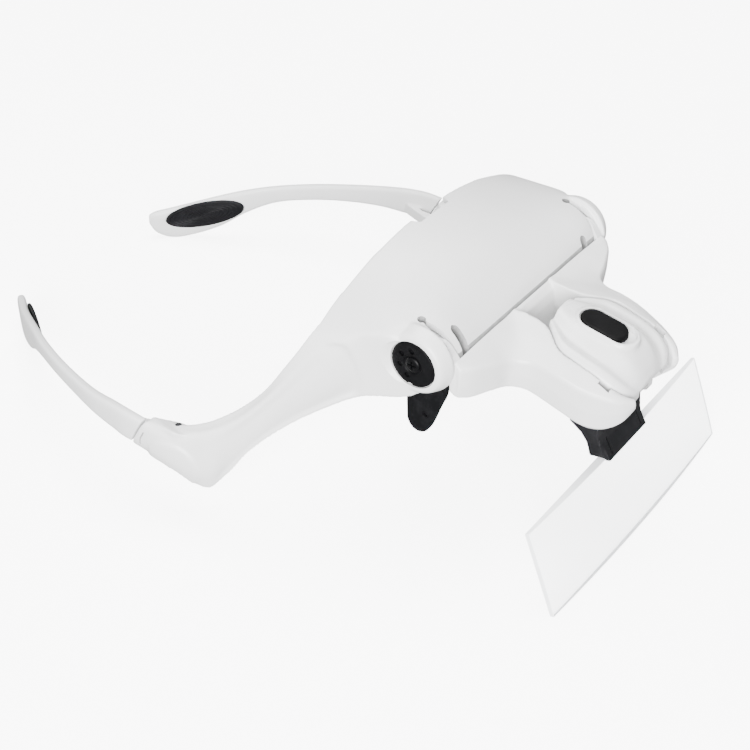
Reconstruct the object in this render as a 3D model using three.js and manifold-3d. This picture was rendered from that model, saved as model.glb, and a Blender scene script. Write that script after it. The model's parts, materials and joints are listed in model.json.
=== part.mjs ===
// Head-worn visor magnifier: a white frame with two folding temples, a tilting brow bracket,
// a light module with a slide switch, and a clear lens in a tilting holder.
// Millimetres, +Z up, -Y is the wearer's front and +X the wearer's left.
// Every sub-part is shaped in a design frame whose origin lies on top of the frame, midway
// between the two pivot bosses. The finished visor leans by `restLean` so that the lens and the
// temple tips touch the table, and its origin is the table point below its middle.
import * as THREE from 'three';
import { mergeVertices } from 'three/addons/utils/BufferGeometryUtils.js';
import Module from 'manifold-3d';

const wasm = await Module();
wasm.setup();

// ---- driving dimensions ----------------------------------------------------------------------
const restLean = THREE.MathUtils.degToRad(1.05);  // rear of the visor up a little
const tablePoint = new THREE.Vector3(0, 57.6, -69.08); // in the leaning frame, below the middle

const gap = 0.35;                                 // between neighbouring pieces
const shellWall = 1.8;                            // frame wall thickness
const knobAxis = { y: -2.0, z: -9.2 };            // lateral axis of the two bracket pivots
const drum = { r: 9.3, x0: 34.3, x1: 37.6, wall: 1.6 }; // bracket ear that turns in the frame
const boss = { r: 10.0, x1: 42.4, pocketR: 7.55, pocketDepth: 0.9 };
const knob = { r: 7.25, x1: 43.4 };
const pivotR = 2.0;                               // pivot screw shank
const boreR = 2.1;

const hinge = { x: 67.6, y: 58.7, top: -41.4, bottom: -54.2, pinR: 0.9, earR: 1.9, knuckleR: 1.9 };
const knuckle = { top: -46.2, bottom: -50.8 };

const noseFoot = { x: 5.0, y0: 2.4, y1: 12.4, z0: -3.2, z1: -0.2 };
const noseScrew = { y: 5.2, r: 1.1, headR: 2.0, headHeight: 1.4, top: 2.6, postR: 3.0, postTop: 3.2 };
const nosePadX = 14;                              // mid-plane of each nose pad

const modulePivot = { y: -43.0, z: -19.5, r: 1.2 };
const holderPivot = { y: -37.2, z: -29.6, r: 1.1 };
const holder = { halfWidth: 10.5, barrelR: 4.6 };
const cell = { r: 4.75, h: 2.7, y: -29.6, bottom: -22.2 };
const led = { x: 5.6, y: -44.6, z: -20.6, r: 1.5 };

const lensSize = { halfWidth: 46.2, height: 26.2, edge: 1.2, sag: 2.0, topY: -40.3, topZ: -43.8 };
const lensTilt = THREE.MathUtils.degToRad(21.5);  // lens leans, its lower edge forward
const lensTab = { halfWidth: 6.0, height: 8.5, thick: 1.6 };

// ---- materials -------------------------------------------------------------------------------
const paint = (color, roughness, metalness = 0) => (
  new THREE.MeshStandardMaterial({ color, roughness, metalness })
);
const whitePlastic = paint(0xf2f2f0, 0.35);
const blackPlastic = paint(0x17171a, 0.45);
const greyPlastic = paint(0x3a3a3d, 0.5);
const blackRubber = paint(0x1d1d1f, 0.85);
const steel = paint(0xb9bcc0, 0.3, 1.0);
const brass = paint(0xc9a658, 0.35, 1.0);
const boardGreen = paint(0x1f6b3f, 0.6);
const clearLens = paint(0xe9eef0, 0.05);
clearLens.transparent = true;
clearLens.opacity = 0.35;
const ledEpoxy = paint(0xf6f3d8, 0.2);

// ---- geometry helpers ------------------------------------------------------------------------
const point = (x, y, z) => new THREE.Vector3(x, y, z);

// Turns every triangle round if the closed surface faces inwards.
function facingOut(geometry) {
  const p = geometry.getAttribute('position');
  const index = geometry.getIndex().array;
  const a = point();
  const b = point();
  const c = point();
  let volume = 0;
  for (let i = 0; i < index.length; i += 3) {
    a.fromBufferAttribute(p, index[i]);
    b.fromBufferAttribute(p, index[i + 1]);
    c.fromBufferAttribute(p, index[i + 2]);
    volume += a.dot(b.cross(c));
  }
  if (volume < 0) {
    for (let i = 0; i < index.length; i += 3) {
      [index[i], index[i + 1]] = [index[i + 1], index[i]];
    }
  }
  return geometry;
}

function indexed(positions, faces) {
  const geometry = new THREE.BufferGeometry();
  geometry.setAttribute('position', new THREE.Float32BufferAttribute(positions, 3));
  geometry.setIndex(faces);
  return facingOut(geometry);
}

// Closed solid through rings of equal length, with a fan over each end.
function loft(rings) {
  const count = rings[0].length;
  const positions = rings.flat().flatMap((p) => [p.x, p.y, p.z]);
  const faces = [];
  for (let i = 0; i + 1 < rings.length; i += 1) {
    for (let j = 0; j < count; j += 1) {
      const k = (j + 1) % count;
      const [a, b] = [i * count + j, i * count + k];
      faces.push(a, b, b + count, a, b + count, a + count);
    }
  }
  [0, rings.length - 1].forEach((row) => {
    const centre = rings[row].reduce((sum, p) => sum.add(p), point(0, 0, 0));
    centre.divideScalar(count);
    const hub = positions.length / 3;
    positions.push(centre.x, centre.y, centre.z);
    for (let j = 0; j < count; j += 1) {
      const [a, b] = [row * count + j, row * count + ((j + 1) % count)];
      faces.push(...(row === 0 ? [b, a, hub] : [a, b, hub]));
    }
  });
  return indexed(positions, faces);
}

// Closed sheet of constant thickness under a grid of outer surface points.
function sheet(grid, thickness) {
  const rows = grid.length;
  const columns = grid[0].length;
  const at = (i, j) => grid[Math.min(Math.max(i, 0), rows - 1)][Math.min(Math.max(j, 0), columns - 1)];
  const outer = [];
  const inner = [];
  for (let i = 0; i < rows; i += 1) {
    for (let j = 0; j < columns; j += 1) {
      const along = at(i + 1, j).clone().sub(at(i - 1, j));
      const across = at(i, j + 1).clone().sub(at(i, j - 1));
      const normal = across.cross(along).normalize();
      outer.push(grid[i][j]);
      inner.push(grid[i][j].clone().addScaledVector(normal, -thickness));
    }
  }
  const half = rows * columns;
  const positions = [...outer, ...inner].flatMap((p) => [p.x, p.y, p.z]);
  const faces = [];
  const quad = (a, b, c, d) => faces.push(a, b, c, a, c, d);
  for (let i = 0; i + 1 < rows; i += 1) {
    for (let j = 0; j + 1 < columns; j += 1) {
      const a = i * columns + j;
      quad(a, a + columns, a + columns + 1, a + 1);
      quad(half + a, half + a + 1, half + a + columns + 1, half + a + columns);
    }
  }
  for (let i = 0; i + 1 < rows; i += 1) {
    const a = i * columns;
    const b = a + columns - 1;
    quad(a + columns, a, half + a, half + a + columns);
    quad(b, b + columns, half + b + columns, half + b);
  }
  for (let j = 0; j + 1 < columns; j += 1) {
    const a = j;
    const b = (rows - 1) * columns + j;
    quad(a, a + 1, half + a + 1, half + a);
    quad(b + 1, b, half + b, half + b + 1);
  }
  return indexed(positions, faces);
}

function solidOf(geometry) {
  const bare = geometry.clone();
  bare.deleteAttribute('normal');
  bare.deleteAttribute('uv');
  const merged = mergeVertices(bare, 1e-4);
  return new wasm.Manifold(new wasm.Mesh({
    numProp: 3,
    vertProperties: new Float32Array(merged.getAttribute('position').array),
    triVerts: new Uint32Array(merged.getIndex().array),
  }));
}

function geometryOf(solid) {
  const mesh = solid.getMesh();
  const geometry = new THREE.BufferGeometry();
  const positions = new THREE.BufferAttribute(mesh.vertProperties, 3);
  geometry.setAttribute('position', positions);
  geometry.setIndex(new THREE.BufferAttribute(mesh.triVerts, 1));
  return geometry;
}

const join = (...parts) => geometryOf(parts.map(solidOf).reduce((a, b) => a.add(b)));
const cut = (body, ...tools) => (
  geometryOf(tools.map(solidOf).reduce((a, b) => a.subtract(b), solidOf(body)))
);

// The same shape on the other side of the wearer.
function mirrored(geometry) {
  const other = geometry.index ? geometry.clone() : mergeVertices(geometry);
  other.scale(-1, 1, 1);
  return facingOut(other);
}

function box(x0, x1, y0, y1, z0, z1) {
  const geometry = new THREE.BoxGeometry(x1 - x0, y1 - y0, z1 - z0);
  return geometry.translate((x0 + x1) / 2, (y0 + y1) / 2, (z0 + z1) / 2);
}

// Turned solid about an X-parallel axis; the profile lists [radius, x] and starts and ends on it.
function turnedAboutX(profile, y, z, segments = 32) {
  const points = profile.map(([r, x]) => new THREE.Vector2(r, x));
  const geometry = new THREE.LatheGeometry(points, segments);
  geometry.rotateZ(-Math.PI / 2);
  geometry.translate(0, y, z);
  geometry.deleteAttribute('normal');
  geometry.deleteAttribute('uv');
  return facingOut(mergeVertices(geometry, 1e-4));
}

const rodAboutX = (r, x0, x1, y, z, segments = 24) => (
  turnedAboutX([[0, x0], [r, x0], [r, x1], [0, x1]], y, z, segments)
);

function rodAboutZ(r, z0, z1, x, y, segments = 24) {
  const geometry = new THREE.CylinderGeometry(r, r, z1 - z0, segments);
  return geometry.rotateX(Math.PI / 2).translate(x, y, (z0 + z1) / 2);
}

// Plan outline (x, y) raised from z0 to z1.
function raised(outline, z0, z1) {
  const shape = new THREE.Shape(outline.map(([x, y]) => new THREE.Vector2(x, y)));
  const geometry = new THREE.ExtrudeGeometry(shape, { depth: z1 - z0, bevelEnabled: false });
  return geometry.translate(0, 0, z0);
}

// Side outline (y, z) spread from x0 to x1.
function spread(outline, x0, x1) {
  const shape = new THREE.Shape(outline.map(([y, z]) => new THREE.Vector2(y, z)));
  const geometry = new THREE.ExtrudeGeometry(shape, { depth: x1 - x0, bevelEnabled: false });
  geometry.applyMatrix4(new THREE.Matrix4().makeBasis(point(0, 1, 0), point(0, 0, 1), point(1, 0, 0)));
  return geometry.translate(x0, 0, 0);
}

function oval(halfLength, halfWidth, steps = 24) {
  return Array.from({ length: steps }, (_, i) => {
    const a = (i / steps) * 2 * Math.PI;
    return [halfLength * Math.cos(a), halfWidth * Math.sin(a)];
  });
}

// A smooth grid through ribs: curves run along the ribs' matching points, then across them.
function ribGrid(ribs, alongSteps, acrossSteps) {
  const rails = ribs[0].map((_, k) => {
    const line = new THREE.CatmullRomCurve3(ribs.map((rib) => point(...rib[k])), false, 'centripetal');
    return Array.from({ length: alongSteps + 1 }, (_unused, i) => line.getPoint(i / alongSteps));
  });
  return Array.from({ length: alongSteps + 1 }, (_, i) => {
    const rib = new THREE.CatmullRomCurve3(rails.map((rail) => rail[i]), false, 'centripetal');
    return Array.from({ length: acrossSteps + 1 }, (_unused, j) => rib.getPoint(j / acrossSteps));
  });
}

// ---- frame -----------------------------------------------------------------------------------
// Ribs of the left half, from the middle of the forehead plate out to the temple hinge. Each runs
// from the rear or inner top edge, over the crease, to the front lip or lower edge.
const frameRibs = [
  [[0, 23.5, 7.4], [0, 13, 6.1], [0, 2, 3.5], [0, -5.6, -1.0], [0, -9.7, -4.9], [0, -11, -9.0]],
  [[11, 23.6, 6.8], [11, 13, 5.6], [11, 2, 3.1], [11, -5.7, -1.1], [11, -9.7, -4.9], [11, -10.9, -7.6]],
  [[22, 23.9, 4.9], [22, 13, 4.0], [22, 2, 2.2], [22, -5.8, -1.2], [22, -9.7, -4.9], [22, -10.9, -7.7]],
  [[33, 24.2, 1.5], [33.5, 13, 1.5], [34, 1, 0.7], [34, -5.8, -1.2], [33.8, -9.6, -4.9], [33.5, -10.9, -8]],
  [[41, 24.5, -1.8], [40.7, 13, -0.9], [40.4, 2, -0.7], [40, -5, -2.2], [39.8, -9, -6.5], [39.6, -10, -11]],
  [[46.5, 24.7, -4.8], [44.8, 14.5, -3.2], [43, 4, -1.9], [42.3, -1, -7], [42, -3, -13], [41.8, -1, -20.4]],
  [[50, 25.6, -7.4], [48.3, 18.8, -6.2], [46.5, 12.6, -4.9], [46.8, 10.6, -11], [46.6, 10.4, -17.5], [46.2, 12.4, -24.5]],
  [[52.6, 27.7, -12], [51.8, 23.6, -11], [50.9, 19.8, -10], [51.6, 18.8, -15.6], [51.8, 18.9, -22.2], [51.3, 20.8, -29.3]],
  [[54.7, 31.0, -17.8], [54.9, 28.7, -17.6], [54.9, 26.6, -16.9], [56, 26.0, -22.2], [56.5, 26.8, -28.7], [56.2, 28.5, -35.2]],
  [[57.4, 36.0, -26.0], [58.4, 34.7, -26.4], [59.5, 33.6, -26.3], [60.8, 33.8, -32], [61.6, 35.2, -38.6], [61.7, 37, -44]],
  [[61.2, 43.6, -34.0], [62.8, 42.3, -34.8], [64.2, 41.2, -34.9], [65.4, 41.5, -41], [66, 42.8, -49], [65.7, 44.2, -54.8]],
  [[65.9, 52.2, -39.3], [67.4, 50.8, -40], [68.7, 49.6, -40.1], [69.6, 48.8, -46], [69.7, 48.3, -53.5], [68.5, 49.2, -60.0]],
  [[69.0, 60.2, -41.1], [70.7, 59.4, -41.7], [72, 58.4, -42.2], [72.9, 58, -46], [72.9, 57.8, -51], [71.9, 58, -55]],
  [[70.7, 66.0, -40.9], [72.4, 66.2, -41], [73.6, 66.8, -41.8], [74, 68.6, -45], [73.9, 70.8, -49], [73.2, 72.2, -51.4]],
];

function frameBand() {
  const flip = (rib) => rib.map(([x, y, z]) => [-x, y, z]);
  const rightRibs = frameRibs.slice(1).reverse().map(flip);
  return sheet(ribGrid([...rightRibs, ...frameRibs], 48, 8), shellWall);
}

// Round boss that carries the pivot, standing outside the turning bracket ear.
function pivotBoss() {
  const { r, x1, pocketR, pocketDepth } = boss;
  const floor = x1 - pocketDepth;
  const x0 = drum.x1 + gap;
  const profile = [[0, x0], [r, x0], [r - 0.4, x0 + 1.4], [r - 1.2, x1 - 1.0], [r - 2.1, x1], [pocketR, x1]];
  return turnedAboutX([...profile, [pocketR, floor], [0, floor]], knobAxis.y, knobAxis.z, 32);
}

function hingeEar(z0, z1) {
  const { x, y, earR } = hinge;
  const outline = [[x + 4.2, y - 5.2], [x + 4.2, y + 4.2], [x, y + earR]];
  const steps = 6;
  for (let i = 1; i < steps; i += 1) {
    const a = Math.PI / 2 + (i / steps) * Math.PI;
    outline.push([x + earR * Math.cos(a), y + earR * Math.sin(a)]);
  }
  outline.push([x, y - earR]);
  return raised(outline, z0, z1);
}

// Short relief slot in the front lip beside each pivot, open to the lip's edge.
const lipSlot = () => box(31.6, 32.8, -13, -5.0, -10.5, 1.5);

function frameShell() {
  const { y, z } = knobAxis;
  const ears = [hingeEar(knuckle.top + gap, hinge.top - 0.3), hingeEar(-54.0, knuckle.bottom - gap)];
  const added = [pivotBoss(), ...ears];
  const removed = [
    rodAboutX(drum.r + 0.45, drum.x0 - gap, drum.x1 + gap, y, z, 32),
    rodAboutX(boreR, 30, 50, y, z),
    rodAboutX(boss.pocketR, boss.x1 - boss.pocketDepth, 50, y, z, 32),
    rodAboutZ(hinge.pinR + 0.1, hinge.bottom - 2, hinge.top + 3, hinge.x, hinge.y, 20),
    knuckleClearance(),
    lipSlot(),
  ];
  const both = (parts) => [...parts, ...parts.map(mirrored)];
  const rearNotch = raised([[-9, 26], [-6.6, 20.8], [6.6, 20.8], [9, 26]], 0, 12);
  const { y: screwY, r: screwR, postR, postTop, top } = noseScrew;
  const post = rodAboutZ(postR, noseFoot.z1 + gap, postTop, 0, screwY, 16);
  const screwHole = rodAboutZ(screwR + 0.1, -4, top + 0.2, 0, screwY, 14);
  return cut(join(frameBand(), post, ...both(added)), ...both(removed), rearNotch, screwHole);
}

// Pocket in which the temple's knuckle turns, open towards the wearer.
function knuckleClearance() {
  const { x, y, knuckleR } = hinge;
  const r = knuckleR + 0.3;
  const outline = [[x - 12, y - r], [x, y - r], [x + r, y], [x + r, y + 20], [x - 12, y + 20]];
  return raised(outline, knuckle.bottom - gap, knuckle.top + gap);
}

function knobCap() {
  const x0 = boss.x1 - boss.pocketDepth + 0.05;
  const { r, x1 } = knob;
  const hole = pivotR + 0.25;
  const profile = [[hole, x0], [r, x0], [r, x1 - 0.7], [r - 0.7, x1], [hole, x1], [hole, x0]];
  const cap = turnedAboutX(profile, knobAxis.y, knobAxis.z, 30);
  const fingerDimples = [60, 120, 180, 240].map((degrees) => {
    const a = THREE.MathUtils.degToRad(degrees);
    const [y, z] = [knobAxis.y + 4.7 * Math.cos(a), knobAxis.z + 4.7 * Math.sin(a)];
    return rodAboutX(0.8, x1 - 0.5, x1 + 1, y, z, 8);
  });
  return cut(cap, ...fingerDimples);
}

function pivotScrew() {
  const { y, z } = knobAxis;
  const x1 = knob.x1 + 0.25;
  const shank = turnedAboutX([[0, 31.6], [pivotR, 31.6], [pivotR, x1 - 0.3], [pivotR - 0.3, x1], [0, x1]], y, z);
  const slots = [box(x1 - 0.8, x1 + 1, y - 1.3, y + 1.3, z - 0.25, z + 0.25),
    box(x1 - 0.8, x1 + 1, y - 0.25, y + 0.25, z - 1.3, z + 1.3)];
  return cut(shank, ...slots);
}

function pivotNut() {
  const { y, z } = knobAxis;
  const blank = rodAboutX(3.8, 32.0, drum.x0 - 0.15, y, z, 6);
  return cut(blank, rodAboutX(pivotR + 0.05, 30, 36, y, z, 32));
}

const hingePin = () => rodAboutZ(hinge.pinR, hinge.bottom, hinge.top, hinge.x, hinge.y, 20);

// ---- nose piece ------------------------------------------------------------------------------
function noseBridge() {
  const { x, y0, y1, z0, z1 } = noseFoot;
  const leg = (side) => {
    const path = new THREE.CatmullRomCurve3([
      point(side * 2.6, 10.4, -1.6), point(side * 3.8, 9.8, -10),
      point(side * 8.5, 9.5, -24), point(side * 11.1, 11, -36), point(side * 11.1, 11.6, -43),
    ]);
    const section = new THREE.Shape(oval(1.9, 1.3, 8).map(([a, b]) => new THREE.Vector2(a, b)));
    return new THREE.ExtrudeGeometry(section, { steps: 11, extrudePath: path, bevelEnabled: false });
  };
  const screwHole = rodAboutZ(noseScrew.r + 0.1, z0 - 3, z1 + 3, 0, noseScrew.y, 14);
  return cut(join(box(-x, x, y0, y1, z0, z1), leg(1), leg(-1)), screwHole);
}

function noseBridgeScrew() {
  const { y, r, headR, headHeight, top } = noseScrew;
  const headTop = noseFoot.z0 - 0.05;
  const headBottom = headTop - headHeight;
  return join(rodAboutZ(r, headBottom, top, 0, y, 14), rodAboutZ(headR, headBottom, headTop, 0, y, 14));
}

// Teardrop rubber pad that rests beside the nose, clipped outside its leg.
function nosePad(side) {
  const drop = new THREE.Shape();
  drop.moveTo(19.0, -44);
  drop.bezierCurveTo(19.6, -38, 16, -34, 11, -34);
  drop.bezierCurveTo(5.5, -34, 4.0, -38, 6.4, -43.5);
  drop.bezierCurveTo(8.6, -48.5, 9.4, -54, 12.4, -57.2);
  drop.bezierCurveTo(14.6, -59.2, 18.0, -58.4, 18.8, -54);
  drop.closePath();
  const pad = new THREE.ExtrudeGeometry(drop, {
    depth: 1.3, bevelThickness: 0.6, bevelSize: 0.6, bevelSegments: 2, curveSegments: 6,
  });
  pad.applyMatrix4(new THREE.Matrix4().makeBasis(point(0, 1, 0), point(0, 0, 1), point(1, 0, 0)));
  pad.translate(nosePadX - 0.65, 0, 0);
  const placed = cut(pad, rodAboutX(0.9, 8, 20, 12.2, -50.7, 12));
  return side > 0 ? placed : mirrored(placed);
}

// ---- temples ---------------------------------------------------------------------------------
// Stations of the left temple: centre x, y, top z, height, thickness.
const templeStations = [
  [72.6, 66.8, -41.0, 11.2, 3.2],
  [72.4, 73, -40.9, 11.4, 3.3],
  [71.5, 80, -41.5, 10.4, 3.3],
  [69.8, 89.5, -43.1, 8.2, 3.1],
  [66.5, 100.5, -44.8, 6.4, 2.9],
  [61.6, 113.7, -46.9, 5.9, 2.8],
  [55.9, 126.1, -49.3, 6.3, 2.8],
  [50.6, 135.5, -51.7, 8.9, 2.9],
  [45.9, 143.4, -54.4, 12.1, 3.0],
  [40.2, 152.5, -57.9, 12.9, 3.1],
  [35.8, 158.6, -60.1, 11.9, 3.1],
  [32.5, 163.0, -61.6, 8.4, 2.9],
  [31.0, 165.0, -63.0, 3.4, 1.8],
];
const seamSlant = 0.55;                           // how far the hinge seam leans back as it falls

function templeRing(index) {
  const [x, y, top, height, thick] = templeStations[index];
  const before = templeStations[Math.max(index - 1, 0)];
  const after = templeStations[Math.min(index + 1, templeStations.length - 1)];
  const along = point(after[0] - before[0], after[1] - before[1], 0).normalize();
  const outward = point(along.y, -along.x, 0);
  const centre = point(x, y, top - height / 2);
  return oval(1, 1, 12).map(([c, s]) => {
    const squareness = 0.55;
    const across = Math.sign(c) * Math.abs(c) ** squareness * (thick / 2);
    const up = Math.sign(s) * Math.abs(s) ** squareness * (height / 2);
    const corner = centre.clone().addScaledVector(outward, across);
    corner.z += up;
    if (index === 0) corner.y += seamSlant * (top - corner.z);
    return corner;
  });
}

function templeKnuckle() {
  const { x, y, knuckleR: r } = hinge;
  const outline = [[x + r, y], [x + r, 72.5], [72.2, 77.5], [72.2, 82], [70.6, 82], [66.6, 70], [x - r, y]];
  const steps = 8;
  for (let i = 1; i < steps; i += 1) {
    const a = Math.PI + (i / steps) * Math.PI;
    outline.push([x + r * Math.cos(a), y + r * Math.sin(a)]);
  }
  return raised(outline, knuckle.bottom, knuckle.top);
}

// Frame of the flat paddle at the temple's tip: its middle, its long direction and its inner side.
const paddle = {
  middle: point(42.0, 147.6, -61.0),
  along: point(-0.535, 0.81, -0.24).normalize(),
  inward: point(-0.834, -0.551, 0).normalize(),
};
paddle.across = paddle.along.clone().cross(paddle.inward).normalize();

function onPaddle(geometry, depth) {
  const basis = new THREE.Matrix4().makeBasis(paddle.along, paddle.across, paddle.inward);
  basis.setPosition(paddle.middle.clone().addScaledVector(paddle.inward, depth));
  const placed = geometry.applyMatrix4(basis);
  return facingOut(placed.index ? placed : mergeVertices(placed));
}

function paddleDisc(halfLength, halfWidth, depth, thickness, middle = 0) {
  const shape = new THREE.Shape(
    oval(halfLength, halfWidth).map(([a, b]) => new THREE.Vector2(a + middle, b)),
  );
  const disc = new THREE.ExtrudeGeometry(shape, { depth: thickness, bevelEnabled: false });
  return onPaddle(disc, depth);
}

const padStuds = [{ at: -3.5, halfLength: 1.6 }, { at: 3.6, halfLength: 2.6 }];

function templePad() {
  const face = paddleDisc(14.6, 4.7, 0.7, 1.0);
  const studs = padStuds.map(({ at, halfLength }) => paddleDisc(halfLength, 1.1, -1.9, 2.8, at));
  return join(face, ...studs);
}

function templeArm() {
  const blade = loft(templeStations.map((_, i) => templeRing(i)));
  const recess = paddleDisc(14.6 + gap, 4.7 + gap, 0.7 - gap, 6);
  const studHoles = padStuds.map(({ at, halfLength }) => (
    paddleDisc(halfLength + 0.1, 1.2, -6, 9, at)
  ));
  const { x, y, pinR } = hinge;
  const pinHole = rodAboutZ(pinR + 0.1, -60, -40, x, y, 20);
  return cut(join(blade, templeKnuckle()), recess, ...studHoles, pinHole);
}

// ---- brow bracket ----------------------------------------------------------------------------
// Stations of the left half, from the pivot ear to the arm's front tip. Each ring runs:
// inner top, outer crease, outer low edge, inner low edge, inner middle.
const bracketStations = [
  { top: [37.4, -10.9, -7.4], crease: [37.4, -13.2, -8.7], low: [37.4, -12.4, -18.4], inLow: [37.4, -9.6, -17], inMid: [37.4, -9.4, -12] },
  { top: [34.0, -11.5, -7.9], crease: [34.6, -15.2, -9.0], low: [34.6, -14.8, -18.8], inLow: [34.4, -12.9, -18.6], inMid: [34.2, -12.6, -11.2] },
  { top: [27.0, -11.5, -7.6], crease: [29.0, -17.4, -9.9], low: [29.0, -17.5, -19.0], inLow: [28.6, -15.6, -18.9], inMid: [28.2, -15.0, -12] },
  { top: [18.0, -11.5, -7.4], crease: [23.2, -19.4, -11.1], low: [23.4, -19.5, -20.2], inLow: [21.0, -18.4, -20.2], inMid: [20.6, -17.4, -13] },
  { top: [10.0, -11.6, -7.3], crease: [20.9, -23.0, -11.4], low: [21.0, -23.2, -21.0], inLow: [10.4, -22.4, -24.0], inMid: [9.8, -17.0, -12] },
  { top: [9.6, -21.0, -9.2], crease: [20.4, -28.0, -11.5], low: [20.4, -28.2, -22.4], inLow: [12.2, -26.0, -27.5], inMid: [10.0, -21.4, -18] },
  { top: [12.1, -28.4, -11.7], crease: [20.2, -33.0, -12.6], low: [20.0, -33.6, -24.2], inLow: [12.4, -32.2, -29.4], inMid: [12.3, -29.4, -20] },
  { top: [12.6, -36.0, -13.9], crease: [19.4, -38.4, -14.3], low: [18.9, -39.4, -26.4], inLow: [12.4, -38.2, -31.8], inMid: [12.5, -37.0, -22] },
  { top: [12.6, -41.5, -15.6], crease: [17.4, -43.6, -15.8], low: [16.7, -44.4, -26.6], inLow: [12.4, -43.0, -29.6], inMid: [12.6, -42.4, -22] },
  { top: [12.0, -46.3, -17.7], crease: [14.4, -47.8, -16.8], low: [13.8, -48.8, -24.0], inLow: [11.9, -46.6, -25.6], inMid: [11.9, -46.6, -21] },
  { top: [10.4, -49.4, -18.6], crease: [11.2, -50.2, -18.0], low: [11.0, -50.6, -20.4], inLow: [10.3, -49.6, -20.6], inMid: [10.3, -49.5, -19.6] },
];
const trayBox = { x: 13.2, y0: -31.2, y1: -24.4, z0: -27.6, z1: -26.1 };

function bracketRing(station) {
  const { top, crease, low, inLow, inMid } = station;
  const between = (a, b, t, lift = [0, 0, 0]) => a.map((v, i) => v + (b[i] - v) * t + lift[i]);
  return [
    top, between(top, crease, 0.5, [0, 0, 0.25]), crease,
    between(crease, low, 0.12, [0.35, -0.35, 0]), between(crease, low, 0.55, [0.4, -0.4, 0]),
    low, between(low, inLow, 0.5, [0, 0, -0.3]), inLow, inMid,
    between(inMid, top, 0.8),
  ];
}

function bracketHalf() {
  const rings = bracketStations.map(bracketRing);
  const rails = rings[0].map((_, k) => (
    new THREE.CatmullRomCurve3(rings.map((ring) => point(...ring[k])), false, 'centripetal')
  ));
  const steps = 22;
  return loft(Array.from({ length: steps + 1 }, (_, i) => rails.map((rail) => rail.getPoint(i / steps))));
}

// Disc-shaped ear that turns inside the frame's boss.
function pivotEar() {
  const { r, x0, x1, wall } = drum;
  const profile = [[0, x0 + 1.2], [r - wall, x0 + 1.2], [r - wall, x0], [r, x0], [r, x1], [0, x1]];
  return turnedAboutX(profile, knobAxis.y, knobAxis.z, 32);
}

function bracketShell() {
  const { y: my, z: mz } = modulePivot;
  const { y: hy, z: hz } = holderPivot;
  const tray = box(-trayBox.x, trayBox.x, trayBox.y0, trayBox.y1, trayBox.z0, trayBox.z1);
  const halves = [bracketHalf(), mirrored(bracketHalf()), pivotEar(), mirrored(pivotEar())];
  const holes = [
    rodAboutX(boreR, -60, 60, knobAxis.y, knobAxis.z, 32),
    rodAboutX(modulePivot.r + 0.05, -14.2, 14.2, my, mz, 20),
    rodAboutX(holderPivot.r + 0.05, -14.5, 14.5, hy, hz, 20),
    frameLipClearance(),
  ];
  return cut(join(...halves, tray), ...holes);
}

// Space swept by the frame's front lip as the bracket tilts.
function frameLipClearance() {
  const x = drum.x0 - 0.05;
  return rodAboutX(9.35, -x, x, knobAxis.y, knobAxis.z, 32);
}

const lensHolderPin = () => rodAboutX(holderPivot.r, -14.2, 14.2, holderPivot.y, holderPivot.z, 16);
const modulePin = () => rodAboutX(modulePivot.r, 10.1, 14.0, modulePivot.y, modulePivot.z, 16);

// ---- light module ----------------------------------------------------------------------------
// Stations: y, half width at the seam, seam z, half width of the top pad, pad z, bottom z.
const moduleStations = [
  [-20.9, 7.2, -10.0, 3.0, -6.2, -20.5],
  [-23.5, 8.9, -10.4, 4.2, -6.8, -22.6],
  [-28.0, 11.4, -11.9, 5.4, -7.6, -22.6],
  [-34.0, 12.0, -13.6, 5.7, -8.5, -22.6],
  [-40.0, 12.1, -15.4, 5.7, -9.5, -22.6],
  [-44.0, 11.8, -17.0, 5.3, -11.6, -22.6],
  [-47.0, 10.8, -18.6, 4.5, -15.2, -22.3],
  [-48.6, 8.6, -20.0, 3.4, -18.4, -21.6],
];

function moduleRing([y, w, seam, pad, padZ, bottom], inset = 0) {
  const side = [
    [pad * 0.6, padZ + 0.35 - inset], [pad, padZ - inset], [pad + 0.35 * (w - pad), padZ + 0.5 * (seam - padZ) - inset],
    [w - inset, seam - inset], [w - inset, seam - 1.5 - inset], [w - 0.8 - inset, bottom],
  ];
  const left = side.map(([x, z]) => point(x, y, z));
  const right = side.map(([x, z]) => point(-x, y, z)).reverse();
  return [...left, ...right];
}

const switchSlot = { halfWidth: 4.2, y0: -43.0, y1: -26.4, depth: 0.8 };
const slider = { halfWidth: 3.8, y0: -40.4, y1: -26.8, rise: 0.9, travel: 2.2 };
const topPad = { slope: 0.16, y: -33.5, z: -8.15 }; // falls by its slope forward through this point

// Rounded plan outline used by the switch and its slot.
function pill(halfWidth, y0, y1) {
  const shape = [];
  const steps = 8;
  const ends = [[y1 - halfWidth, 0], [y0 + halfWidth, Math.PI]];
  ends.forEach(([cy, start]) => {
    for (let i = 0; i <= steps; i += 1) {
      const a = start + (i / steps) * Math.PI;
      shape.push([halfWidth * Math.cos(a), cy + halfWidth * Math.sin(a)]);
    }
  });
  return shape;
}

// Shears a flat piece so that it follows the falling top pad, its zero height on the pad.
function alongPad(geometry) {
  const { slope, y, z } = topPad;
  const shear = new THREE.Matrix4().makeTranslation(0, 0, z - slope * y);
  shear.elements[6] = slope;
  geometry.applyMatrix4(shear);
  return geometry;
}

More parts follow.
